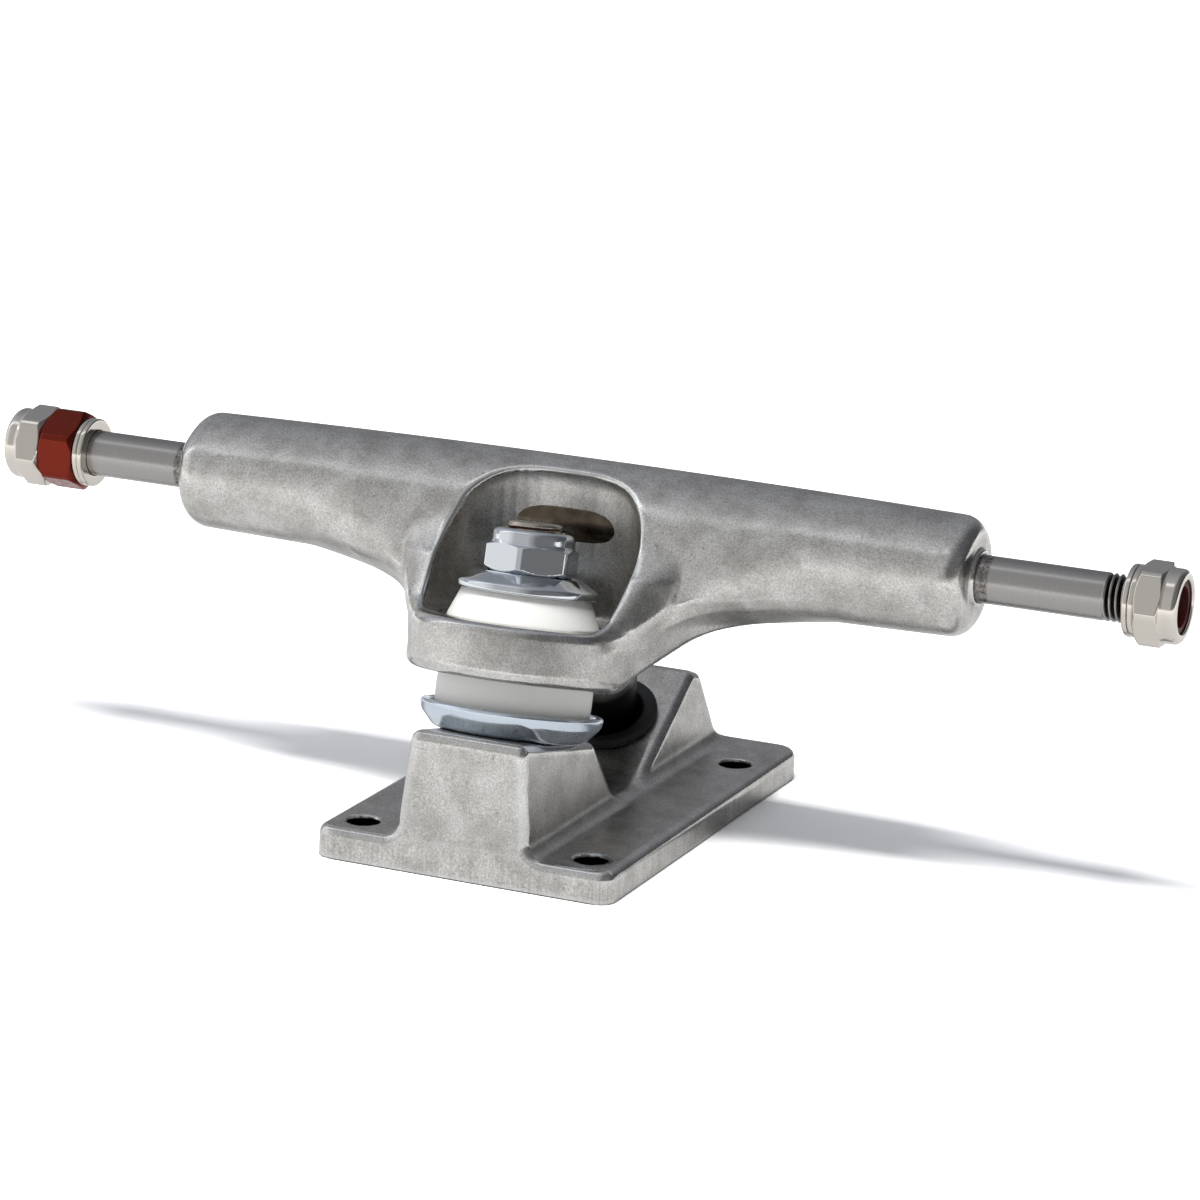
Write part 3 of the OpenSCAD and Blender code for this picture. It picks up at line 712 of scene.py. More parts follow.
def turned(
    name: str,
    profile: Array,
    stand: Stand,
    finish: Finish,
    node: str,
    body: str | None,
    columns: int = 160,
    closed: bool = True,
    shape: Callable[[Array, Array, Array], Array] | None = None,
) -> bpy.types.Object:
    """Makes a piece from a profile carried round an axis.

    Args:
        name: the piece's name.
        profile: points (r, s), out from the axis and along it.
        stand: the axis.
        finish: the piece's finish.
        node: the node that it stands for.
        body: the body that it rides on, or None to leave it unattached.
        columns: steps round the axis.
        closed: whether the profile closes on itself; an open one starts and ends on the axis.
        shape: changes the radius from angle, place along the axis and radius, as on a hexagon.

    Returns:
        The new object.
    """
    angle = np.linspace(0, 2 * np.pi, columns, endpoint=False)[None]
    radius = np.repeat(profile[:, :1], columns, axis=1)
    along = np.repeat(profile[:, 1:], columns, axis=1)
    if shape:
        radius = shape(np.broadcast_to(angle, radius.shape), along, radius)
    local = np.stack([radius * np.cos(angle), radius * np.sin(angle), along], -1).reshape(-1, 3)
    made = write_mesh(name, stand.to_row(local), lap(len(profile), columns, closed))
    face_outwards(made)
    finish_piece(made, finish, node, body)
    return made


# Sub-assemblies


@dataclass
class Casting:
    """A cast piece, meshed from its signed distance."""

    cell: float = 0.5

    def solid(self, points: Array) -> Array:
        """Signed distance of the casting."""
        raise NotImplementedError

    def painted_shade(self, points: Array) -> Array:
        """Returns how much shade is painted on the casting at each point, from 0 to 1."""
        return np.zeros(len(points))

    def brushed(self, points: Array) -> Array:
        """Returns how brushed the casting is at each point, from 0 to 1."""
        return np.zeros(len(points))

    def cast(self, name: str, node: str, body: str, low: Sequence[float], high: Sequence[float]) -> None:
        """Makes the piece, and stores how sharp its surface is, where shade is painted on it and where it is
        brushed, for its finish.

        Args:
            name: the piece's name.
            node: the node that it stands for.
            body: the body that it rides on.
            low: lowest corner of the box round it.
            high: highest corner.
        """
        cell = self.cell * 1.0
        points, faces = surface_of(self.solid, low, high, cell)
        made = write_mesh(name, points, faces)
        # the second attribute marks where shade is painted on
        paints = {
            "edge": sharpness(self.solid, points), "painted_shade": self.painted_shade(points), "brushed": self.brushed(points),
        }
        for key, values in paints.items():
            kept = made.data.attributes.new(key, "FLOAT", "POINT")
            kept.data.foreach_set("value", values.astype(np.float32))
        finish_piece(made, CASTING, node, body)


@dataclass
class Baseplate(Casting):
    """The flange with its bolt holes, the kingpin boss and the pivot boss."""

    cell: float = 0.45
    half_w: float = 26.74
    front: float = -38.85
    rear: float = 48.45
    thick: float = 5.5
    corner: float = 4.0
    edge: float = 1.6
    boss_half_w: float = 12.0
    boss_narrow: float = 10.2
    boss_high: float = 24.44
    boss_corner: float = 2.2
    boss_round: float = 1.7
    boss_lean: float = 0.065
    fillet: float = 2.4
    machined_z: float = 4.4
    machined_step: float = 0.12
    holes: tuple[float, float] = (20.6375, 31.75)
    hole_r: float = 2.8
    hole_round: float = 0.35
    cup_r: float = 7.2
    head_r: float = 9.2
    head_top: float = -26.3

    def __post_init__(self) -> None:
        """Draws the side view of both bosses and their end view."""
        self.side_view = Outline(
            [
                (self.front - 3, -8), (self.front - 3, self.machined_z), (self.front, self.machined_z),
                (-37.55, self.boss_high, 1.7), (-8.55, 17.96, 1.5), (-0.55, 5.8, 4.5), (7.6, 5.6, 4.5),
                (34.9, 20.1, 2.2), (39.0, 18.8, 1.8), (45.0, 7.2, 3.0), (47.0, 3.0), (47.0, -8),
            ]
        )
        w, n, z = self.boss_half_w, self.boss_narrow, self.boss_high
        lean = (w - n) / (z - self.thick)
        self.end_view = Outline([(-30, -8), (w + lean * 13.5, -8), (n - lean * 8, z + 8), (-30, z + 8)])

    def solid(self, points: Array) -> Array:
        """Grows both bosses from the flange with fillets, trims them with the outline and the front,
        and cuts the machined step, the bolt holes and the seats of the cup and the kingpin.

        Args:
            points: places in the row frame.

        Returns:
            Their signed distances.
        """
        x, y, z = np.abs(points[..., 0]), points[..., 1], points[..., 2]
        bosses = round_meet(self.side_view(y, z), self.end_view(x, z), self.boss_round)
        body = round_union(z - self.thick, bosses, self.fillet)
        middle = (self.front + self.rear) / 2
        outline = round_meet(x - self.half_w, np.abs(y - middle) - (self.rear - middle), self.corner)
        body = round_meet(body, outline, self.edge)
        leaning = (self.front - y + self.boss_lean * (z - self.machined_z)) / 1.002
        body = round_meet(body, leaning, self.boss_corner)
        machined = np.maximum(outline, z - self.machined_z)
        body = np.minimum(np.maximum(body, outline + self.machined_step), np.maximum(machined, body))
        bolt = np.hypot(x - self.holes[0], np.abs(y) - self.holes[1]) - self.hole_r
        body = round_meet(body, -bolt, self.hole_round)
        _, from_pivot = PIVOT.along(points)
        along, from_kingpin = KINGPIN.along(points)
        body = np.maximum(body, self.cup_r - from_pivot)
        body = np.maximum(body, (KINGPIN_R + 0.05) - from_kingpin)
        head_hole = np.maximum(from_kingpin - self.head_r, along - self.head_top)
        return np.maximum(np.maximum(body, -head_hole), -z)

    def painted_shade(self, points: Array) -> Array:
        """Finds the walls of the bolt holes, which are painted dark as shade.

        Args:
            points: places on the surface.

        Returns:
            1 on the walls and 0 elsewhere.
        """
        x, y, z = np.abs(points[..., 0]), points[..., 1], points[..., 2]
        from_bolt = np.hypot(x - self.holes[0], np.abs(y) - self.holes[1]) - self.hole_r
        return np.clip((0.25 - from_bolt) / 0.15, 0, 1) * np.clip((self.thick - 0.2 - z) / 0.2, 0, 1)

    def brushed(self, points: Array) -> Array:
        """Returns 1 below the machined step, and 0 from a third of a millimetre above it."""
        return np.clip((self.machined_z + 0.2 - points[..., 2]) / 0.3, 0, 1)

    def build(self) -> None:
        """Makes the baseplate, which stands for its node."""
        self.cast("baseplate_casting", "baseplate", "base", (-28, -40.2, -1.2), (28, 49.8, 25.8))


@dataclass
class Hanger(Casting):
    """The tube, the ring with its bushing seats, the wings, the yoke, the pocket and the pivot stem."""

    cell: float = 0.5
    half_l: float = 71.75
    end_r: float = 10.0
    mid_r: float = 10.9
    end_round: float = 3.5
    facet: float = 0.3
    facet_turn: float = math.radians(63)
    facet_round: float = 2.5
    sweep: float = 14.0
    sweep_least: float = 2.5
    sweep_grows: float = 1.2
    sweep_fades: tuple[float, float] = (62.0, 26.0)
    ring_r: float = 18.6
    ring_half_h: float = 4.8
    ring_round: float = 1.9
    seat_r: float = 13.4
    seat_level: float = 2.8
    bore_r: float = 9.4
    bore_round: float = 0.5
    fillet: float = 2.5
    climb: float = math.radians(27.6)
    wing_t: float = 7.5
    wing_t_front: float = 9.0
    wing_round: float = 1.4
    wing_end: float = 26.0
    wing_foot: float = 4.1
    wing_near: float = 11.0
    yoke_round: float = 5.0
    yoke_fillet: float = 9.0
    yoke_fades: float = 57.0
    neck_round: float = 3.0
    pocket_half_w: float = 19.0
    pocket_rear: float = 1.3
    pocket_top: float = 62.6
    pocket_round: float = 1.1
    pocket_corner: float = 4.0
    pocket_foot: float = 2.5
    root_r: float = 4.8
    root_x: float = 72.5
    root_round: float = 0.3
    open_x: float = 12.0
    ball_r: float = 5.0
    stem_r: float = 4.6
    stem_slope: float = 0.16
    stem_l: float = 38.0
    stem_widens_to: float = 22.0
    stem_fillet: float = 3.0

    def __post_init__(self) -> None:
        """Draws the views that the hanger is cut from."""
        self.wing_view = Outline(
            [
                (-30, -1.5), (17, -1.5), (20.8, 3.6, 5), (27.5, 15.5, 14), (36, 19.8, 20), (54, 25.5),
                (54, 70), (-30, 70),
            ]
        )
        self.yoke_side = Outline(
            [(-17, 36), (4.1, 44), (4.1, 62.9), (-1.9, 60.4, 4), (-8.5, 51.7, 25), (-20.5, 39.9), (-19, 36)]
        )
        self.yoke_end = Outline(
            [(-30, 30), (25.5, 30), (24.0, 41.5, 8), (20.2, 51.7, 14), (17.4, 66), (-30, 66)]
        )
        self.neck_side = Outline(
            [(-13, 29.3), (2.6, 31.3, 6), (11.1, 38.2, 6), (14.0, 48.1), (4.1, 52.1), (-13, 36)]
        )
        self.neck_plan = Outline([(-30, -17), (16.5, -17), (16.5, 7.1, 8), (10.5, 15.0, 4), (-30, 15.0)])
        w, rear = self.pocket_half_w, self.pocket_rear
        self.pocket_plan = Outline([(-30, -60), (w, -60), (w, rear, 16), (-30, rear)])
        top = self.pocket_top
        self.pocket_end = Outline(
            [(-30, 20), (16.4, 20), (16.7, 41, 20), (19.0, 50, 20), (18.6, top, 10), (-30, top)]
        )

    def wings(self, x: Array, y: Array, z: Array) -> tuple[Array, Array, Array]:
        """Slopes a plate up from the ring to the tube, thicker beside the ring than further out.

        Args:
            x: distance from the middle.
            y: the places' y.
            z: their height.

        Returns:
            Distance from the plate, distance from the wings' outline in it, and height over its lower face.
        """
        foot_y, foot_z = KINGPIN.origin[1], KINGPIN.origin[2] - self.wing_foot
        u = (y - foot_y) * math.cos(self.climb) + (z - foot_z) * math.sin(self.climb)
        h = (z - foot_z) * math.cos(self.climb) - (y - foot_y) * math.sin(self.climb)
        near = np.clip((self.wing_near - u) / self.wing_near, 0, 1)
        half = (self.wing_t + (self.wing_t_front - self.wing_t) * near) / 2
        return round_meet(np.abs(h - half) - half, u - self.wing_end, 0.5), self.wing_view(x, u), h

    def pocket(self, x: Array, y: Array, z: Array, along: Array) -> Array:
        """Returns the hollow round the kingpin nut, open to the front and the top."""
        walls = round_meet(self.pocket_plan(x, y), self.pocket_end(x, z), self.pocket_corner)
        return round_meet(walls, self.ring_half_h - along, self.pocket_foot)

    def stem(self, points: Array) -> Array:
        """Joins the ball in the pivot cup with the cone that widens and runs up into the tube.

        Args:
            points: places in the row frame.

        Returns:
            Their signed distances.
        """
        along, away = PIVOT.along(points)
        ball = np.hypot(along, away) - self.ball_r
        side = away - (self.stem_r + self.stem_slope * np.minimum(along, self.stem_widens_to))
        cone = np.maximum(side * 0.987, np.maximum(-along, along - self.stem_l))
        return round_union(ball, cone, 1.0)

    def solid(self, points: Array) -> Array:
        """Lets the tube, wings, yoke, ring, neck and stem flow together, and cuts the hollows last.

        The tube's front is planed flat at a slant. The fillet between the wings and the tube, sweep,
        grows from sweep_least by sweep_grows for each millimetre over the wings' lower face, and fades
        out along X: sweep_fades holds where it ends and over what length. The yoke's fillet fades out
        up to the height yoke_fades. Full fillets would swell surfaces that run alongside each other.

        Args:
            points: places in the row frame.

        Returns:
            Their signed distances.
        """
        x, y, z = np.abs(points[..., 0]), points[..., 1], points[..., 2]
        along, away = KINGPIN.along(points)
        _, from_axle = AXLE.along(points)
        radius = self.mid_r - (self.mid_r - self.end_r) * (x / self.half_l) ** 2
        _, axle_y, axle_z = AXLE.origin
        facing = (axle_y - y) * math.cos(self.facet_turn) + (z - axle_z) * math.sin(self.facet_turn)
        tube = round_meet(from_axle - radius, facing - radius + self.facet, self.facet_round)
        tube = round_meet(tube, x - self.half_l, self.end_round)
        plate, outline, over = self.wings(x, y, z)
        yoke = round_meet(self.yoke_side(y, z), self.yoke_end(x, z), self.yoke_round)
        wing = round_meet(plate, outline, self.wing_round)
        sweep = np.clip(self.sweep_least + self.sweep_grows * over, self.sweep_least, self.sweep)
        fade_end, fade_l = self.sweep_fades
        grown = round_union(tube, wing, sweep * np.clip((fade_end - x) / fade_l, 0.04, 1))
        yoked = round_union(grown, yoke, np.clip(self.yoke_fades - z, 0.5, self.yoke_fillet))
        body = np.minimum(grown, round_meet(yoked, outline, self.yoke_round))
        ring = round_meet(away - self.ring_r, np.abs(along) - self.ring_half_h, self.ring_round)
        body = round_union(body, ring, self.fillet)
        neck = round_meet(self.neck_side(y, z), self.neck_plan(x, y), self.neck_round)
        body = round_union(body, neck, self.fillet)
        body = round_union(body, self.stem(points), self.stem_fillet)
        root = round_meet(from_axle - self.root_r, x - self.root_x, self.root_round)
        body = round_union(body, root, 0.4)
        body = round_meet(body, -self.pocket(x, y, z, along), self.pocket_round)
        seat = np.maximum(away - self.seat_r, self.seat_level - np.abs(along))
        bore = np.minimum(seat, away - self.bore_r)
        body = np.where(np.abs(along) < 9, round_meet(body, -bore, self.bore_round), body)
        return np.maximum(body, np.minimum(AXLE_R - from_axle, x - self.open_x))

    def painted_shade(self, points: Array) -> Array:
        """Returns where shade is painted on the stem: 1 between the cup and the ring, and 0 from the neck on.
        """
        along, away = PIVOT.along(points)
        return np.clip((16 - along) / 4, 0, 1) * np.clip((12 - away) / 2, 0, 1)

    def build(self) -> None:
        """Makes the hanger, which stands for its node."""
        self.cast("hanger_casting", "hanger", "hanger", (-73.6, -37.5, 4.2), (73.6, 31.0, 64.4))


def thread(radius: float, pitch: float, depth: float, start: float, stop: float) -> Callable[..., Array]:
    """Makes a shape that cuts a single-start thread into a shaft.

    The radius dips by depth where the distance along the shaft, less the turn made so far, is halfway
    between two whole pitches, and fades in over the first pitch.

    Args:
        radius: the shaft's radius.
        pitch: distance between two grooves.
        depth: how deep they are.
        start: where the thread starts along the shaft.
        stop: where it ends.

    Returns:
        The shape.
    """

    def shape(angle: Array, along: Array, was: Array) -> Array:
        """Cuts the thread's groove where the blank is full.

        Args:
            angle: each point's turn about the axis.
            along: its place along the axis.
            was: the blank's radius there.

        Returns:
            The new radius.
        """
        phase = (along / pitch - angle / (2 * np.pi)) % 1.0
        ridge = np.clip(1.6 * np.abs(2 * phase - 1) - 0.3, 0, 1)
        fade = np.clip((along - start) / pitch, 0, 1) * np.clip((stop - along) / (0.3 * pitch), 0, 1)
        cut = np.where(was > radius - depth, depth * ridge * np.where(along < stop, fade, 0), 0)
        return was - cut

    return shape


@dataclass
class Axle:
    """The steel bar through the hanger, threaded at both ends."""

    half_l: float = 104.0
    thread_l: float = 10.4
    pitch: float = 1.058
    depth: float = 0.55
    end_round: float = 0.6
    coarse: float = 0.6
    fine: float = 0.12

    def build(self) -> None:
        """Makes the bar as one turned surface from end to end, with fine rows only where it is threaded."""
        half, start = self.half_l, self.half_l - self.thread_l
        corners = [(0, -half), (AXLE_R, -half, self.end_round), (AXLE_R, half, self.end_round), (0, half)]
        body = resampled(rounded(corners, closed=False), self.coarse, closed=False)
        r, at = body[:, 0], body[:, 1]
        extra = np.arange(start - 1, half - self.end_round - 0.1, self.fine)
        full = np.full(len(extra), AXLE_R)
        rounding = r < AXLE_R - 1e-3
        rows = [
            body[(at < 0) & rounding], np.stack([full, -extra[::-1]], -1), body[np.abs(at) <= start - 1],
            np.stack([full, extra], -1), body[(at > 0) & rounding],
        ]
        cut = thread(AXLE_R, self.pitch, self.depth, start, half - 0.2)

        def both_ends(angle: Array, along: Array, was: Array) -> Array:
            """Cuts the same right-handed thread from either end."""
            return cut(np.where(along < 0, -angle, angle), np.abs(along), was)

        made = turned(
            "axle_bar", np.concatenate(rows), AXLE, AXLE_STEEL, "axle", "hanger", 96, False, both_ends
        )
        spots = np.empty(len(made.data.vertices) * 3, np.float32)
        made.data.vertices.foreach_get("co", spots)
        spots = spots.reshape(-1, 3) / MM
        away = np.hypot(spots[:, 1] - AXLE.origin[1], spots[:, 2] - AXLE.origin[2])
        # marks the thread grooves, which are painted dark: partly oily black, partly painted shade
        deep = np.clip((AXLE_R - 0.12 - away) / 0.25, 0, 1) * (np.abs(spots[:, 0]) < half - 1.5)
        made.data.attributes.new("painted_shade", "FLOAT", "POINT").data.foreach_set("value", deep.astype(np.float32))


class Side(Enum):
    """The end of the axle that a piece is on."""

    LEFT = -1
    RIGHT = 1


def hexagon(across: float, chamfer_from: float, soft: float = 0.25) -> Callable[..., Array]:
    """Makes a shape that trims a turned blank to a hexagon.

    Args:
        across: width across flats.
        chamfer_from: radius below which the blank stays round.
        soft: how far the corners are rubbed down.

    Returns:
        The shape.
    """

    def shape(angle: Array, along: Array, was: Array) -> Array:
        """Takes the smaller of the blank's radius and the hexagon's.

        Args:
            angle: each point's turn about the axis.
            along: its place along the axis.
            was: the blank's radius there.

        Returns:
            The new radius.
        """
        sector = (angle + np.pi / 6) % (np.pi / 3) - np.pi / 6
        flat = across / 2 / np.cos(sector)
        flat = np.minimum(flat, across / math.sqrt(3) - soft)
        return np.where(was > chamfer_from, np.minimum(was, flat), was)

    return shape


@dataclass
class LockNut:
    """A hexagon nut with a rolled collar that holds a nylon insert."""

    name: str
    across: float
    hex_h: float
    collar_h: float
    bore_r: float
    finish: Finish

    def build(self, stand: Stand, turn: float, body: str, node: str) -> None:
        """Makes the nut.

        Args:
            stand: the bearing face's middle and the way out along the thread.
            turn: the hexagon's turn about its axis, in degrees.
            body: the body that it rides on.
            node: the node that it stands for.
        """
        flat_r = self.across / 2
        corner_r = self.across / math.sqrt(3)
        chamfer = (corner_r - flat_r) * 0.8
        top = self.hex_h + self.collar_h
        collar_r = flat_r - 0.15
        insert_r = flat_r - 1.5
        outline = rounded(
            [
                (self.bore_r, 0.35), (self.bore_r + 0.35, 0), (flat_r - 0.2, 0, 0.2),
                (corner_r, chamfer, 0.3), (corner_r, self.hex_h - chamfer * 0.6, 0.3),
                (collar_r + 0.15, self.hex_h, 0.2), (collar_r, self.hex_h + 0.5, 0.4),
                (collar_r, top, 1.1), (insert_r - 0.4, top, 0.3), (insert_r - 0.45, top - 0.5),
                (insert_r, top - 0.55), (insert_r, self.hex_h), (self.bore_r, self.hex_h),
            ]
        )
        profile = resampled(outline, 0.3)
        shape = hexagon(self.across, collar_r + 0.2)
        turned(self.name, profile, stand.turned(turn), self.finish, node, body, NUT_COLUMNS, True, shape)


@dataclass
class PlainNut:
    """The plain hexagon that cleans the thread as it comes off."""

    across: float = 12.7
    height: float = 6.6

    def build(self, stand: Stand, turn: float) -> None:
        """Makes the nut.

        Args:
            stand: the bearing face's middle and the way out along the thread.
            turn: the hexagon's turn about its axis, in degrees.
        """
        flat_r, corner_r, bore = self.across / 2, self.across / math.sqrt(3), AXLE_R + 0.05
        rise = (corner_r - flat_r) * 0.9
        outline = rounded(
            [
                (bore, 0.4), (bore + 0.4, 0), (flat_r - 0.15, 0, 0.2), (corner_r, rise, 0.3),
                (corner_r, self.height - rise, 0.3), (flat_r - 0.15, self.height, 0.2),
                (bore + 0.4, self.height), (bore, self.height - 0.4),
            ]
        )
        turned(
            "thread_chasing_nut", resampled(outline, 0.3), stand.turned(turn), RED, "thread_chaser_nut",
            "thread_chaser_nut", NUT_COLUMNS, True, hexagon(self.across, flat_r - 0.1),
        )


@dataclass
class AxleEnds:
    """The washers and nuts on both ends of the axle."""

    washer_r: float = 6.0
    washer_t: float = 0.95
    across: float = 12.7
    hex_h: float = 4.4
    collar_h: float = 2.8
    right_x: float = 99.7
    left_x: float = 93.8
    chaser_h: float = 6.6
    seat_gap: float = 0.03
    right_turn: float = 36.0
    left_turn: float = 15.0
    chaser_turn: float = -3.0

    def place(self, side: Side, distance: float) -> Stand:
        """Returns a stand on the axle at a distance from the middle, facing out."""
        way = float(side.value)
        return Stand((way * distance, AXLE.origin[1], AXLE.origin[2]), (way, 0, 0), (0, 1, 0))

    def washer(self, side: Side, distance: float, node: str) -> None:
        """Makes one speed washer.

        Args:
            side: the end of the axle.
            distance: from the middle to its inner face.
            node: the node that it stands for, and its body.
        """
        bore, t = AXLE_R + 0.1, self.washer_t - self.seat_gap
        outline = rounded(
            [(bore, 0, 0.1), (self.washer_r, 0, 0.3), (self.washer_r, t, 0.15), (bore, t, 0.1)], steps=3
        )
        turned(f"{node}_disc", resampled(outline, 0.4), self.place(side, distance), NICKEL, node, node, 96)

    def build(self) -> None:
        """Makes four washers, two lock nuts and the red nut."""
        t = self.washer_t
        self.washer(Side.RIGHT, self.right_x - 2 * t, "right_inner_washer")
        self.washer(Side.RIGHT, self.right_x - t, "right_outer_washer")
        self.washer(Side.LEFT, self.left_x - 2 * t, "left_inner_washer")
        self.washer(Side.LEFT, self.left_x - t, "left_outer_washer")
        chaser = PlainNut(self.across, self.chaser_h - self.seat_gap)
        chaser.build(self.place(Side.LEFT, self.left_x), self.chaser_turn)
        for side, distance, turn, name in (
            (Side.RIGHT, self.right_x, self.right_turn, "right_axle_nut"),
            (Side.LEFT, self.left_x + self.chaser_h, self.left_turn, "left_axle_nut"),
        ):
            nut = LockNut(f"{name}_body", self.across, self.hex_h, self.collar_h, AXLE_R + 0.05, NICKEL)
            nut.build(self.place(side, distance), turn, name, name)
            dress(bpy.data.objects[f"{name}_insert"], NYLON)


@dataclass
class KingpinStack:
    """The kingpin with its bushings, cup washers and nut, from the boss up."""

    seat: float = 2.8
    gap: float = 0.05
    low_h: float = 9.5
    top_h: float = 7.6
    low_r: float = 13.1
    top_r: float = 13.0
    top_small_r: float = 10.3
    plate: float = 2.0
    low_cup_r: float = 15.5
    low_cup_h: float = 4.6
    top_cup_r: float = 11.9
    top_cup_h: float = 3.2
    across: float = 14.29
    hex_h: float = 4.7
    collar_h: float = 2.6
    proud: float = 1.3
    nut_turn: float = 8.5
    head_low: float = -30.9
    head_top: float = -26.3
    pitch: float = 1.058
    depth: float = 0.5
    levels: dict[str, float] = field(default_factory=dict)

    def __post_init__(self) -> None:
        """Works out where each piece starts along the kingpin."""
        low = -self.seat - self.gap - self.low_h
        top = self.seat + self.gap
        inner = top + self.top_h + self.gap
        self.levels = {
            "low": low, "boss": low - self.gap - self.plate, "top": top, "inner": inner,
            "nut": inner + self.plate,
        }
        self.levels["end"] = self.levels["nut"] + self.hex_h + self.collar_h + self.proud

    def cups(self) -> None:
        """Makes both pressed cup washers."""
        bore = KINGPIN_R + 0.05
        foot = self.levels["boss"]
        r, h, t = self.low_cup_r, self.low_cup_h, self.plate
        outline = rounded(
            [
                (bore, foot), (r - 2.9, foot, 2.0), (r - 0.5, foot + h - 1.9, 2.0), (r, foot + h, 0.5),
                (r - 1.5, foot + h, 0.5), (r - 1.9, foot + t, 1.0), (bore, foot + t),
            ]
        )
        profile = resampled(outline, 0.5)
        turned("lower_cup_washer_pressing", profile, KINGPIN, CUP_ZINC, "bottom_cup_washer", "base")
        top, r = self.levels["nut"], self.top_cup_r
        outline = rounded(
            [
                (bore, top - t), (r - 1.3, top - t, 0.4), (r - 0.9, top - self.top_cup_h, 0.4),
                (r, top - self.top_cup_h, 0.4), (r, top - self.top_cup_h + 1.3, 0.8), (r - 3.4, top, 1.8),
                (bore, top),
            ]
        )
        turned("upper_cup_washer_pressing", resampled(outline, 0.5), KINGPIN, ZINC, "top_cup_washer", "base")

    def bushings(self) -> None:
        """Makes both urethane bushings, which sit between the base and the hanger."""
        spigot_r, spigot_h, inner = 9.0, self.seat - 0.2, KINGPIN_R + 0.2
        low, top = self.levels["low"], self.levels["top"]
        end = low + self.low_h
        outline = rounded(
            [
                (inner, low), (self.low_r - 0.2, low, 0.8), (self.low_r, low + self.low_h * 0.5, 30),
                (self.low_r - 0.2, end, 0.6), (spigot_r, end), (spigot_r, end + spigot_h, 0.4),
                (inner, end + spigot_h),
            ]
        )
        profile = resampled(outline, 0.5)
        made = turned("lower_bushing_barrel", profile, KINGPIN, WHITE_URETHANE, "bottom_bushing", None)
        self.bend(made, low, end)
        tip = top + self.top_h
        outline = rounded(
            [
                (inner, top - spigot_h), (spigot_r, top - spigot_h, 0.4), (spigot_r, top),
                (self.top_r, top, 0.5), (self.top_r - 0.3, top + 1.8, 2.0), (self.top_small_r, tip, 0.7),
                (inner, tip),
            ]
        )
        profile = resampled(outline, 0.5)
        made = turned("upper_bushing_cone", profile, KINGPIN, WHITE_URETHANE, "top_bushing", None)
        self.bend(made, tip, top)

    @staticmethod
    def bend(made: bpy.types.Object, held: float, carried: float) -> None:
        """Bakes a bushing's place into its mesh; where its two ends lie along the kingpin is worked out but
        not used, so it does not bend.

        Args:
            made: the bushing.
            held: level of the end that stays.
            carried: level of the end that follows.
        """
        start, end = KINGPIN.to_row(np.array([[0, 0, held], [0, 0, carried]])) * MM
        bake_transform(made)

    def pin(self) -> None:
        """Makes the kingpin, with its hexagonal head under the boss and its thread at the top."""
        inner, end = self.levels["inner"], self.levels["end"]
        head_r = self.across / math.sqrt(3)
        corners = [
            (0, self.head_low), (head_r, self.head_low, 0.5), (head_r, self.head_top, 0.3),
            (KINGPIN_R, self.head_top), (KINGPIN_R, end, 0.7), (0, end),
        ]
        profile = resampled(rounded(corners, closed=False), 0.25, closed=False)
        cut = thread(KINGPIN_R, self.pitch, self.depth, inner, end - 0.4)
        head = hexagon(self.across, KINGPIN_R + 0.5)

        def shape(angle: Array, along: Array, was: Array) -> Array:
            """Trims the head to its hexagon and cuts the thread over the upper bushing."""
            return head(angle, along, np.where(along > inner, cut(angle, along, was), was))

        turned("kingpin_bolt", profile, KINGPIN, KINGPIN_STEEL, "kingpin", "base", 96, False, shape)

    def build(self) -> None:
        """Makes the whole stack."""
        self.cups()
        self.bushings()
        self.pin()
        nut = LockNut("kingpin_nut_body", self.across, self.hex_h, self.collar_h, KINGPIN_R + 0.05, ZINC)
        origin = KINGPIN.to_row(np.array([[0, 0, self.levels["nut"]]]))[0]
        nut.build(Stand(tuple(origin), KINGPIN.axis), self.nut_turn, "kingpin_nut", "kingpin_nut")
        dress(bpy.data.objects["kingpin_nut_insert"], NYLON)


@dataclass
class PivotCup:
    """The black cup that the hanger's stem turns in."""

    wall_r: float = 7.2
    lip_r: float = 8.9
    lip_t: float = 1.5
    face: float = 3.5
    depth: float = 7.0
    ball_r: float = 5.08
    mouth_r: float = 6.6

    def build(self) -> None:
        """Makes the cup as a turned shell round the ball's socket."""
        t = np.linspace(0, math.pi / 2, 12)
        socket = np.stack([self.ball_r * np.sin(t), -self.ball_r * np.cos(t)], -1)
        top = self.face + self.lip_t
        corners = [
            socket[-1], (self.mouth_r, top, 0.5), (self.lip_r, top, 0.7), (self.lip_r, self.face, 0.3),
            (self.wall_r, self.face), (self.wall_r, -self.depth, 0.5), (0, -self.depth),
        ]
        profile = np.concatenate([socket[:-1], rounded(corners, closed=False)])
        turned("pivot_cup_shell", profile, PIVOT, BLACK_URETHANE, "pivot_cup", "base", 96, False)


# Studio


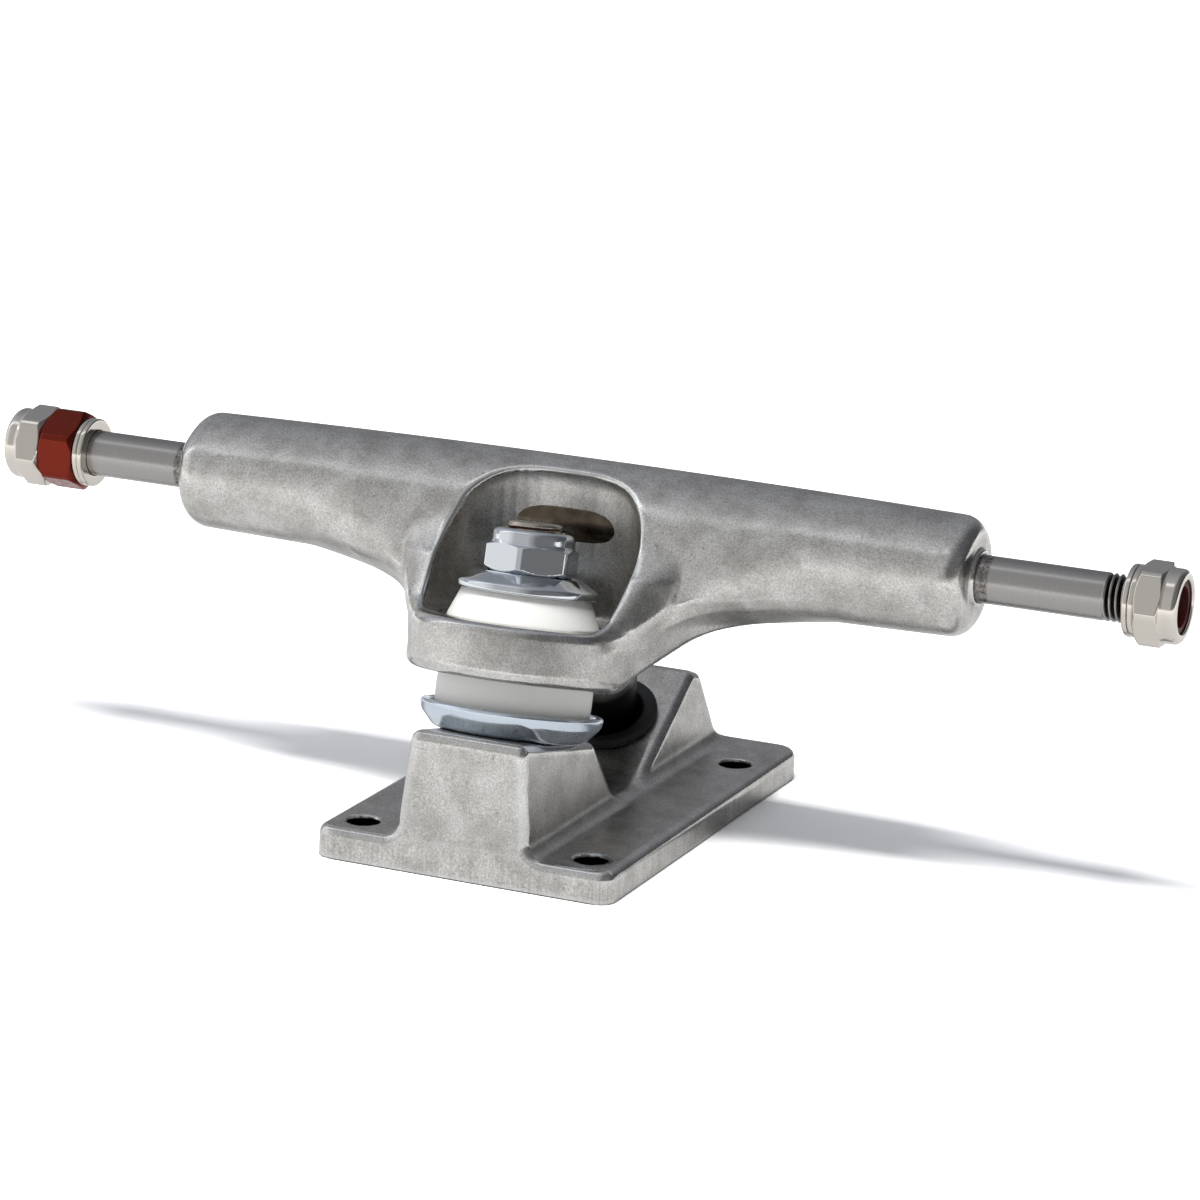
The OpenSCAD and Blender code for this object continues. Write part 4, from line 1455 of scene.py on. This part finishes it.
@dataclass
class Studio:
    """The camera that took the photograph, a white sweep and large soft lamps."""

    focal_px: float = 4663.68
    azimuth: float = 22.6527
    elevation: float = 14.4976
    roll: float = 2.5058
    distance: float = 796.778
    shift: tuple[float, float] = (8.0534, 37.8877)
    frame_px: int = 1200
    near_glow: float = 0.0
    far_glow: float = 0.9
    glow_reach: tuple[float, float] = (0.1, 0.7)
    paper: float = 0.6
    paper_seen: float = 1.35
    right_side: float = 0.35
    right_reach: tuple[float, float] = (0.1, 0.5)
    left_side: float = 1.7
    left_reach: tuple[float, float] = (-0.5, -0.8)
    strip: float = 1.4
    strip_foot: tuple[float, float] = (0.385, 0.42)
    strip_top: tuple[float, float] = (0.44, 0.475)
    strip_end: tuple[float, float] = (-0.1, 0.1)
    hoop: tuple[tuple[float, str], ...] = (
        (0.0, "#c8c8c8"), (0.2, "#c6c7c9"), (0.38, "#bcbec1"), (0.5, "#b8babf"), (0.72, "#94979e"),
        (1.0, "#818285"),
    )

    def camera(self) -> None:
        """Sets the camera up from the view fitted to the photograph."""
        a, e, r = (math.radians(v) for v in (self.azimuth, self.elevation, self.roll))
        back = Vector((math.sin(a) * math.cos(e), -math.cos(a) * math.cos(e), math.sin(e)))
        right = Vector((0, 0, 1)).cross(back).normalized()
        up = back.cross(right)
        level, upright = right * math.cos(r) + up * math.sin(r), up * math.cos(r) - right * math.sin(r)
        eye = level * self.shift[0] + upright * self.shift[1] + back * self.distance
        data = bpy.data.cameras.new("photograph_camera")
        data.sensor_width = 36.0
        data.lens = self.focal_px * 36.0 / self.frame_px
        data.clip_start, data.clip_end = 0.01, 50.0
        made = bpy.data.objects.new("photograph_camera", data)
        bpy.context.scene.collection.objects.link(made)
        matrix = Matrix((level, upright, back)).transposed().to_4x4()
        matrix.translation = eye * MM
        made.matrix_world = matrix
        bpy.context.scene.camera = made

    def floor(self) -> None:
        """Lays a white floor that takes soft shadows and runs to white away from them."""
        mesh = bpy.data.meshes.new("studio_floor")
        mesh.from_pydata([(-4, -4, 0), (4, -4, 0), (4, 4, 0), (-4, 4, 0)], [], [(0, 1, 2, 3)])
        made = bpy.data.objects.new("studio_floor", mesh)
        bpy.context.scene.collection.objects.link(made)
        paper = bpy.data.materials.new("white_paper")
        paper.use_nodes = True
        tree = paper.node_tree
        tree.nodes.clear()
        path = add_node(tree, "LightPath").outputs
        seen = path["Is Camera Ray"]
        for other in ("Is Glossy Ray", "Is Transmission Ray"):
            seen = add_node(tree, "Math", (seen, path[other]), operation="MAXIMUM")
        place = add_node(tree, "TexCoord").outputs["Object"]
        away = add_node(tree, "VectorMath", (place,), operation="LENGTH").outputs["Value"]
        lift = add_node(tree, "MapRange", (away, *self.glow_reach, self.near_glow, self.far_glow))
        lift = add_node(tree, "Math", (seen, lift), operation="MULTIPLY")
        bright = add_node(tree, "MapRange", (path["Is Camera Ray"], 0.0, 1.0, self.paper, self.paper_seen))
        diffuse = add_node(tree, "BsdfDiffuse", (bright,))
        glow = add_node(tree, "Emission", {"Color": (1, 1, 1, 1), "Strength": lift})
        add_node(tree, "OutputMaterial", (add_node(tree, "AddShader", (diffuse, glow)),))
        mesh.materials.append(paper)

    def world(self) -> None:
        """Surrounds the set with a hoop of greys, from the front horizon over the top to the back, with a
        bright strip low in front on the left, a brighter left side and a darker right side. The camera
        sees plain white.
        """
        world = bpy.data.worlds.new("studio")
        bpy.context.scene.world = world
        world.use_nodes = True
        tree = world.node_tree
        tree.nodes.clear()
        camera = add_node(tree, "LightPath").outputs["Is Camera Ray"]
        place = add_node(tree, "TexCoord").outputs["Generated"]
        across, along, up = list(add_node(tree, "SeparateXYZ", (place,)).outputs)
        swing = add_node(tree, "Math", (along, up), operation="ARCTAN2")
        swing = add_node(tree, "MapRange", (swing, -math.pi / 2, math.pi / 2))
        hoop = add_node(tree, "ValToRGB", (swing,), self.hoop)
        light: Any = self.strip
        for limits in (
            (swing, *self.strip_foot),
            (swing, *self.strip_top, 1.0, 0.0),
            (across, *self.strip_end, 1.0, 0.0),
        ):
            within = add_node(tree, "MapRange", limits)
            light = add_node(tree, "Math", (light, within), operation="MULTIPLY")
        light = add_node(tree, "Math", (light, 1.0), operation="ADD")
        for reach, side in ((self.right_reach, self.right_side), (self.left_reach, self.left_side)):
            dimmed = add_node(tree, "MapRange", (across, *reach, 1.0, side))
            light = add_node(tree, "Math", (light, dimmed), operation="MULTIPLY")
        shaded = add_node(tree, "VectorMath", {0: hoop, 3: light}, operation="SCALE")
        seen = add_node(tree, "Mix", {"Factor": camera, "A": shaded, "B": (1, 1, 1, 1)}, data_type="RGBA")
        back = add_node(tree, "Background", {"Color": seen, "Strength": 1.0})
        add_node(tree, "OutputWorld", (back,))

    def lamp(self, name: str, place: Sequence[float], size: Sequence[float], watts: float) -> None:
        """Hangs a rectangular soft lamp that faces the truck and shows in no reflection.

        Args:
            name: the lamp's name.
            place: where it hangs, in metres.
            size: its width and height, in metres.
            watts: its power.
        """
        data = bpy.data.lights.new(name, "AREA")
        data.shape = "RECTANGLE"
        data.size, data.size_y = size
        data.energy = watts
        made = bpy.data.objects.new(name, data)
        bpy.context.scene.collection.objects.link(made)
        made.location = place
        made.visible_glossy = False
        made.rotation_euler = (Vector((0, 0, 0.03)) - Vector(place)).to_track_quat("-Z", "Y").to_euler()

    def build(self) -> None:
        """Makes the camera, the floor, the surroundings and the lamps."""
        self.camera()
        self.floor()
        self.world()
        self.lamp("overhead_strip", (0.0, -0.235, 0.75), (0.6, 0.1), 7.0)
        bpy.context.scene.view_settings.view_transform = "Standard"


def main() -> None:
    """Loads the frame, and builds every sub-assembly and the studio."""
    logging.basicConfig(level=logging.INFO, format="%(name)s: %(message)s")
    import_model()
    Baseplate().build()
    PivotCup().build()
    KingpinStack().build()
    Hanger().build()
    Axle().build()
    AxleEnds().build()
    Studio().build()


if __name__ == "__main__":
    main()
